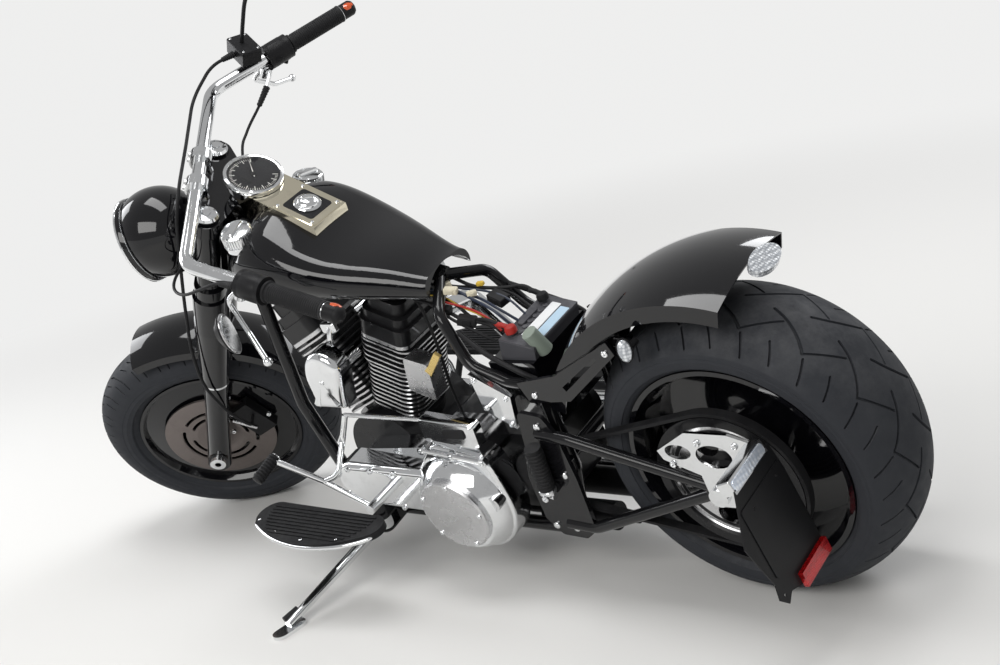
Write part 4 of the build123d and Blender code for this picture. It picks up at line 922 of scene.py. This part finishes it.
on_fork(
    "cable_boots", "rubber",
    boot((-27, 409.6, 1234), (7, 385, 1214), 9.5, 6), boot((-54.7, -378.9, 1222), (-52, -373, 1209), 9, 6),
    boot((-45, -350, 1177), (-26, -311, 1142), 9, 7), boot((33, -356, 1262), (62, -336, 1255), 9, 6.5),
)

# Fork: clamp bolts, riser caps, axle nuts' washers, slider rings and the caliper's bolts
WASHER = [(8.3, 0), (15, 0), (18.5, -1), (19, -6)]
fork_bolts = []
for side, _ in SIDES:
    y = side * 118
    fork_bolts += [
        turned_part([(27, 0), (28, 3), (24, 9), (15, 11), (0.01, 11.5)], (59, y, 1160)),
        hexagon((59, y, 1171), (0, 0, 1), 11, 5),
        turned_part([(31.5, 0), (34.5, 1), (34.5, 8), (31.5, 10)], (59, y, 617), (0, 0, 1), 40),
        bolt((100, y, 1139), (1, 0, 0), 7, 6),
        turned_part(WASHER, AXLE + Vector((0, side * 164.6, 0)), (0, side, 0)),
        *[bolt((110, side * 48 + step, 1190), (1, 0, 0.1), 5.5, 5) for step in (-10, 10)],
        *[bolt((AXLE.x + 22, y, AXLE.z + step), (1, 0, 0), 5, 4) for step in (-12, 14)],
    ]
fork_bolts.append(turned_part([(24, 0), (25, 4), (20, 9), (10, 11), (0.01, 11.5)], (0, 0, 1156)))
for q, s in ((-25, 182), (-127, 124), (-34, 117), (-36, 49)):
    fork_bolts.append(bolt(AXLE + Vector((q, 88.5, s)), (0, 1, 0), 6.5, 5))
on_fork("fork_bolts", "chrome", *fork_bolts)
on_fork("caliper_bar", "polished_alloy", tube([AXLE + Vector(p) for p in ((-34, 90, 92), (-96, 90, 68))], 5))


# Horn between the cylinders, under a bright domed cover
def pillow(outline, low, high, radius, crown, steps=5):
    """A cover over an outline of X and Z: straight sides, a round edge and a slightly domed face."""
    n = len(outline)
    middle = sum(outline, Vector((0, 0))) / n
    verts = [(p.x, low, p.y) for p in outline]
    for step in range(steps + 1):
        angle = math.radians(90 * step / steps)
        for i, p in enumerate(outline):
            along = (outline[(i + 1) % n] - outline[i - 1]).normalized()
            q = p + radius * (1 - math.cos(angle)) * Vector((-along.y, along.x))
            verts.append((q.x, high - radius + radius * math.sin(angle), q.y))
    rim = [Vector((x, z)) for x, _, z in verts[-n:]]
    for share in (0.66, 0.33):
        for p in rim:
            q = middle.lerp(p, share)
            verts.append((q.x, high + crown * (1 - share**2), q.y))
    last = len(verts) - n
    verts.append((middle.x, high + crown, middle.y))
    faces = [tuple(range(n))] + bands(steps + 4, n)
    faces += [(last + i, last + (i + 1) % n, last + n) for i in range(n)]
    return verts, faces, ON_PIECES


HORN = (
    (978, 497), (975, 545), (970, 588), (948, 626), (910, 645),
    (875, 633), (856, 600), (866, 565), (882, 525), (892, 497),
)
horn = on_bike("horn_shell", "chrome", pillow(catmull(HORN, 5), 160, 210, 17, 3.0), sharp=60)
on_bike("horn_bracket", "chrome", tube([(905, 150, 630), (900, 140, 660), (896, 118, 690)], 7),
        slab(rounded(44, 26, 6), 0, 12, 3, at((903, 128, 668), (0, 1, 0))),
        bolt((912, 212.5, 574), (0, 1, 0), 5.5, 3), tube([(912, 90, 575), (912, 162, 575)], 16, 20))
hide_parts("horn_cover")

# Primary cover: bolts round both housings, the rail with its bolt ends and the polished box behind it
CLUTCH = (645, 265)
SEAM = ((1012, 312), (972, 330), (900, 330), (826, 332), (1010, 258), (930, 240), (840, 234))
cover_parts = [p for a in (188, 222, 258, 292, 326) for p in bolts(circle(112, 1, CLUTCH, a), 208, 6, 6)]
cover_parts += bolts(SEAM, 215.5, 6, 6) + bolts(circle(79, 5, CLUTCH, 30), 258, 5.5, 3.6)
cover_parts.append(tube([(700, 213, 404), (536, 213, 384)], 6, 14))
for x, z in ((700, 404), (618, 394), (536, 384)):
    cover_parts += [hexagon((x, 206, z), (0, 1, 0), 11, 12), bolt((x, 216, z), (0, 1, 0), 6, 5)]
box_place = moved(618, 170, 440) @ turned(-90, "X") @ turned(-6)
cover_parts.append(slab(rounded(150, 62, 10), 0, 30, 5, box_place))
on_bike("primary_bolts", "chrome", *cover_parts)
slot_place = moved(596, 199, 444) @ turned(-90, "X")
on_bike("primary_box_slot", "satin_black", slab(rounded(60, 22, 6), 0, 4, 1, slot_place))

# Floorboards: a bright rim along the outer edge and a ribbed mat; the toe peg's rubber
BOARD_RIM = (
    (782, 366), (794, 388), (860, 420), (960, 436), (1060, 423), (1142, 392), (1160, 372), (1165, 350),
)
for side, word in SIDES:
    rim_bolts = [bolt((x, side * (y - 14), 298), (0, 0, 1), 4, 2, False) for x, y in BOARD_RIM[2:6]]
    rim = tube([(x, side * y, 288) for x, y in BOARD_RIM], 5.2, 14, 8)
    on_bike(f"floorboard_rim_{word}", "chrome", rim, *rim_bolts)
    mat = []
    for index in range(9):
        y = 328 + index * 10.5
        reach = 165 * math.sqrt(max(0.05, 1 - ((y - 330) / 112) ** 2))
        mat.append(slab(strip(-reach, reach, 2.2), 0, 3, 0.8, moved(968, side * y, 297.6)))
    on_bike(f"floorboard_mat_{word}", "rubber", *mat)
toe_ribs = ribs(((14.5, 3), (14.5, 7), (12.5, 9)), 8, 8)
on_bike("toe_peg_rubber", "rubber",
        turned_part([(11, 0), *toe_ribs, (13, 70), (0.01, 72)], (1058, 314, 438), (0.12, 0.96, -0.24), 24))

# Passenger pegs: ribbed rubber on a bright clevis
peg_ribs = ribs(((17.6, 12), (19.2, 14), (19.2, 18), (17.6, 20)), 11, 9)
for side, word in SIDES:
    peg = (414, side * 190, 300), (-0.12, side * 0.05, 1), 28
    on_bike(f"peg_rubber_{word}", "rubber", turned_part(peg_ribs, *peg))
    on_bike(f"peg_clevis_{word}", "chrome", turned_part([(17.3, 0), (19, 2), (19, 9), (17.3, 11)], *peg),
            tube([(398, side * 192, 292), (430, side * 192, 300)], 9, 14),
            bolt((411, side * 206, 296), (0, side, 0), 8, 6))

# Bolts on the frame: side cover, plate arm, pivot plates and struts
frame_bolts = bolts(((530, 545), (466, 500), (530, 474), (478, 436)), 146, 6, 4)
frame_bolts += bolts(((8, 448), (-70, 446), (76, 396)), 184, 7, 5)
for side, _ in SIDES:
    frame_bolts += bolts(((390, 452), (372, 330), (400, 188), (452, 190)), side * 169, 8, 5, False)
    frame_bolts += bolts(((384, 512), (170, 616)), side * 144, 7, 4)
on_bike("frame_bolts", "chrome", *frame_bolts)

# Light bar on the plate arm: a bright case with a clear window
bar_place = moved(-112, 239, 444) @ turned(20, "Y")
case_outline = [(y, x) for x, y in rounded(31, 126, 4)]
on_bike("light_bar_case", "chrome", slab(case_outline, 11.5, 15.5, 2, bar_place @ turned(90)))
window_place = bar_place @ turned(-90, "Y") @ moved(0, 0, 14.2)
on_bike("light_bar_window", "bar_lens", slab(rounded(20, 116, 6), 0, 3.5, 1.5, window_place))

# The fork's frame as it would lie with the bar straight, in the upright machine's frame
STEM_FOOT = 1776
STRAIGHT = basis((math.cos(RAKE), 0, math.sin(RAKE)), (0, 1, 0), SPEEDO_UP, (STEM_FOOT, 0, 0))

# Headlight: a black band and a bright rim round its glass
LAMP = STRAIGHT.inverted() @ Vector((1422, 0, 938))
LAMP_WAY = Vector((math.cos(RAKE), 0, -math.sin(RAKE)))
LAMP_RIM = [(101, 12), (104, 13), (104, 16.5), (101, 19.5), (95, 21), (91, 19.5), (90.5, 17)]
on_fork("headlight_band", "gloss_black",
        turned_part([(97, -3), (100.5, -2), (102.6, 2), (102.6, 12.6)], LAMP, LAMP_WAY, 72))
on_fork("headlight_rim", "chrome", turned_part(LAMP_RIM, LAMP, LAMP_WAY, 72),
        bolt(LAMP + Vector((0, 0, -104)), (0, 0, -1), 5, 6))

# Control cables: from the bar's housings to guides on the frame, as fixed meshes
CABLE_RADIUS = 0.0035
CABLE_ROUTES = (
    # name, points in the fork's frame, then the guide and the next point beyond it in the machine's frame
    ("throttle_cable", ((-54.7, -378.9, 1220.5), (-50, -366, 1196), (-42, -342, 1168), (-25, -309, 1140),
                        (-2, -250, 1112), (4, -185, 1094)),
     STRAIGHT @ Vector((-44, -33, 1046)), Vector((1140, -29.2, 842))),
    ("clutch_cable", ((-26.7, 409.8, 1234.4), (12, 382, 1212), (86, 330, 1124), (124, 230, 1050),
                      (116, 130, 1016)),
     STRAIGHT @ Vector((6, 46, 1012)), STRAIGHT @ Vector((-34, 36, 1036))),
)
for name, fork_points, guide, beyond in CABLE_ROUTES:
    enters = guide + (guide - beyond).normalized() * 34
    route = [FORK_MM @ Vector(p) for p in fork_points] + [BIKE_MM @ enters, BIKE_MM @ guide]
    cable = joined(name, [tube(route, CABLE_RADIUS, 12, 10)], ON_PIECES, "rubber", "")
    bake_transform(cable)
    if name == "throttle_cable":
        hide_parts("control_cables")
elbow = ((-53.6, -376, 1215), (-50, -366, 1196), (-43, -345, 1171.5))
on_fork("throttle_elbow", "chrome", tube(elbow, 4.4, 14))

# Rear signals: small black pods on stalks, each with a clear oval lens
SIGNAL_LENS = [(1, -0.1), (1.02, 0.1), (0.9, 0.4), (0.55, 0.62), (0.01, 0.7)]
SIGNAL_SHELL = [(1.02, 0.05), (1.14, 0.1), (1.18, -0.25), (1.05, -1.0), (0.6, -1.7), (0.01, -1.9)]
for side, word in SIDES:
    place = at((101, side * 168, 640), (-0.5, side * 0.8, 0.25)) @ Matrix.Diagonal((13, 21, 11, 1))
    stalk = tube([(97, side * 134, 640), (97, side * 156, 640)], 7, 14)
    pod = on_bike(f"signal_pod_{word}", "satin_black", (*lathe(SIGNAL_SHELL, 32), place), stalk)
    on_bike(f"signal_lens_{word}", "led_lens", (*lathe(SIGNAL_LENS, 32), place))
    if side > 0:
        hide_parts("rear_signals")

# Mirrors: teardrop shells with a bright rim, glass to the rear; each row is a side, the middle and the stem
MIRRORS = (
    ("right", (-22, -436, 1432), ((16, -376, 1279.5), (12, -378, 1340), (6, -392, 1392), (-12, -426, 1424))),
    ("left", (-16, 442, 1124), ((-20, 352, 1204), (-8, 368, 1164), (-8, 392, 1134), (-12, 426, 1124))),
)


def teardrop(size):
    return [(size * 52 * x, size * 33 * y * (1 + 0.16 * x)) for x, y in circle(1, 40)]


for word, centre, stem in MIRRORS:
    face = at(centre, (-0.9, 0, 0.42), math.radians(90))
    back = face @ turned(180, "X")
    shell = on_fork(f"mirror_shell_{word}", "satin_black", slab(teardrop(1), -2, 9, 5, back),
                    slab(teardrop(0.8), 5, 19, 9, back), tube(stem, 5))
    on_fork(f"mirror_rim_{word}", "polished_alloy", slab(teardrop(1.02), 0.5, 3.5, 1.5, face))
    on_fork(f"mirror_glass_{word}", "chrome", slab(teardrop(0.92), 2, 4.2, 0.3, face))
    if word == "right":
        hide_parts("mirrors")

# Side stand: a rubber pad at the front of its foot
STAND_PIVOT = Vector((985, 178, 150))
STAND_FOOT = Vector((1010, 525, 131))
along_stand = (STAND_FOOT - STAND_PIVOT).normalized()
pad = [STAND_FOOT - 44 * along_stand + Vector((8, 0, 4)), STAND_FOOT - 6 * along_stand + Vector((16, 0, 4))]
on_bike("stand_rubber", "rubber", tube(pad, 9, 16), body="side_stand")
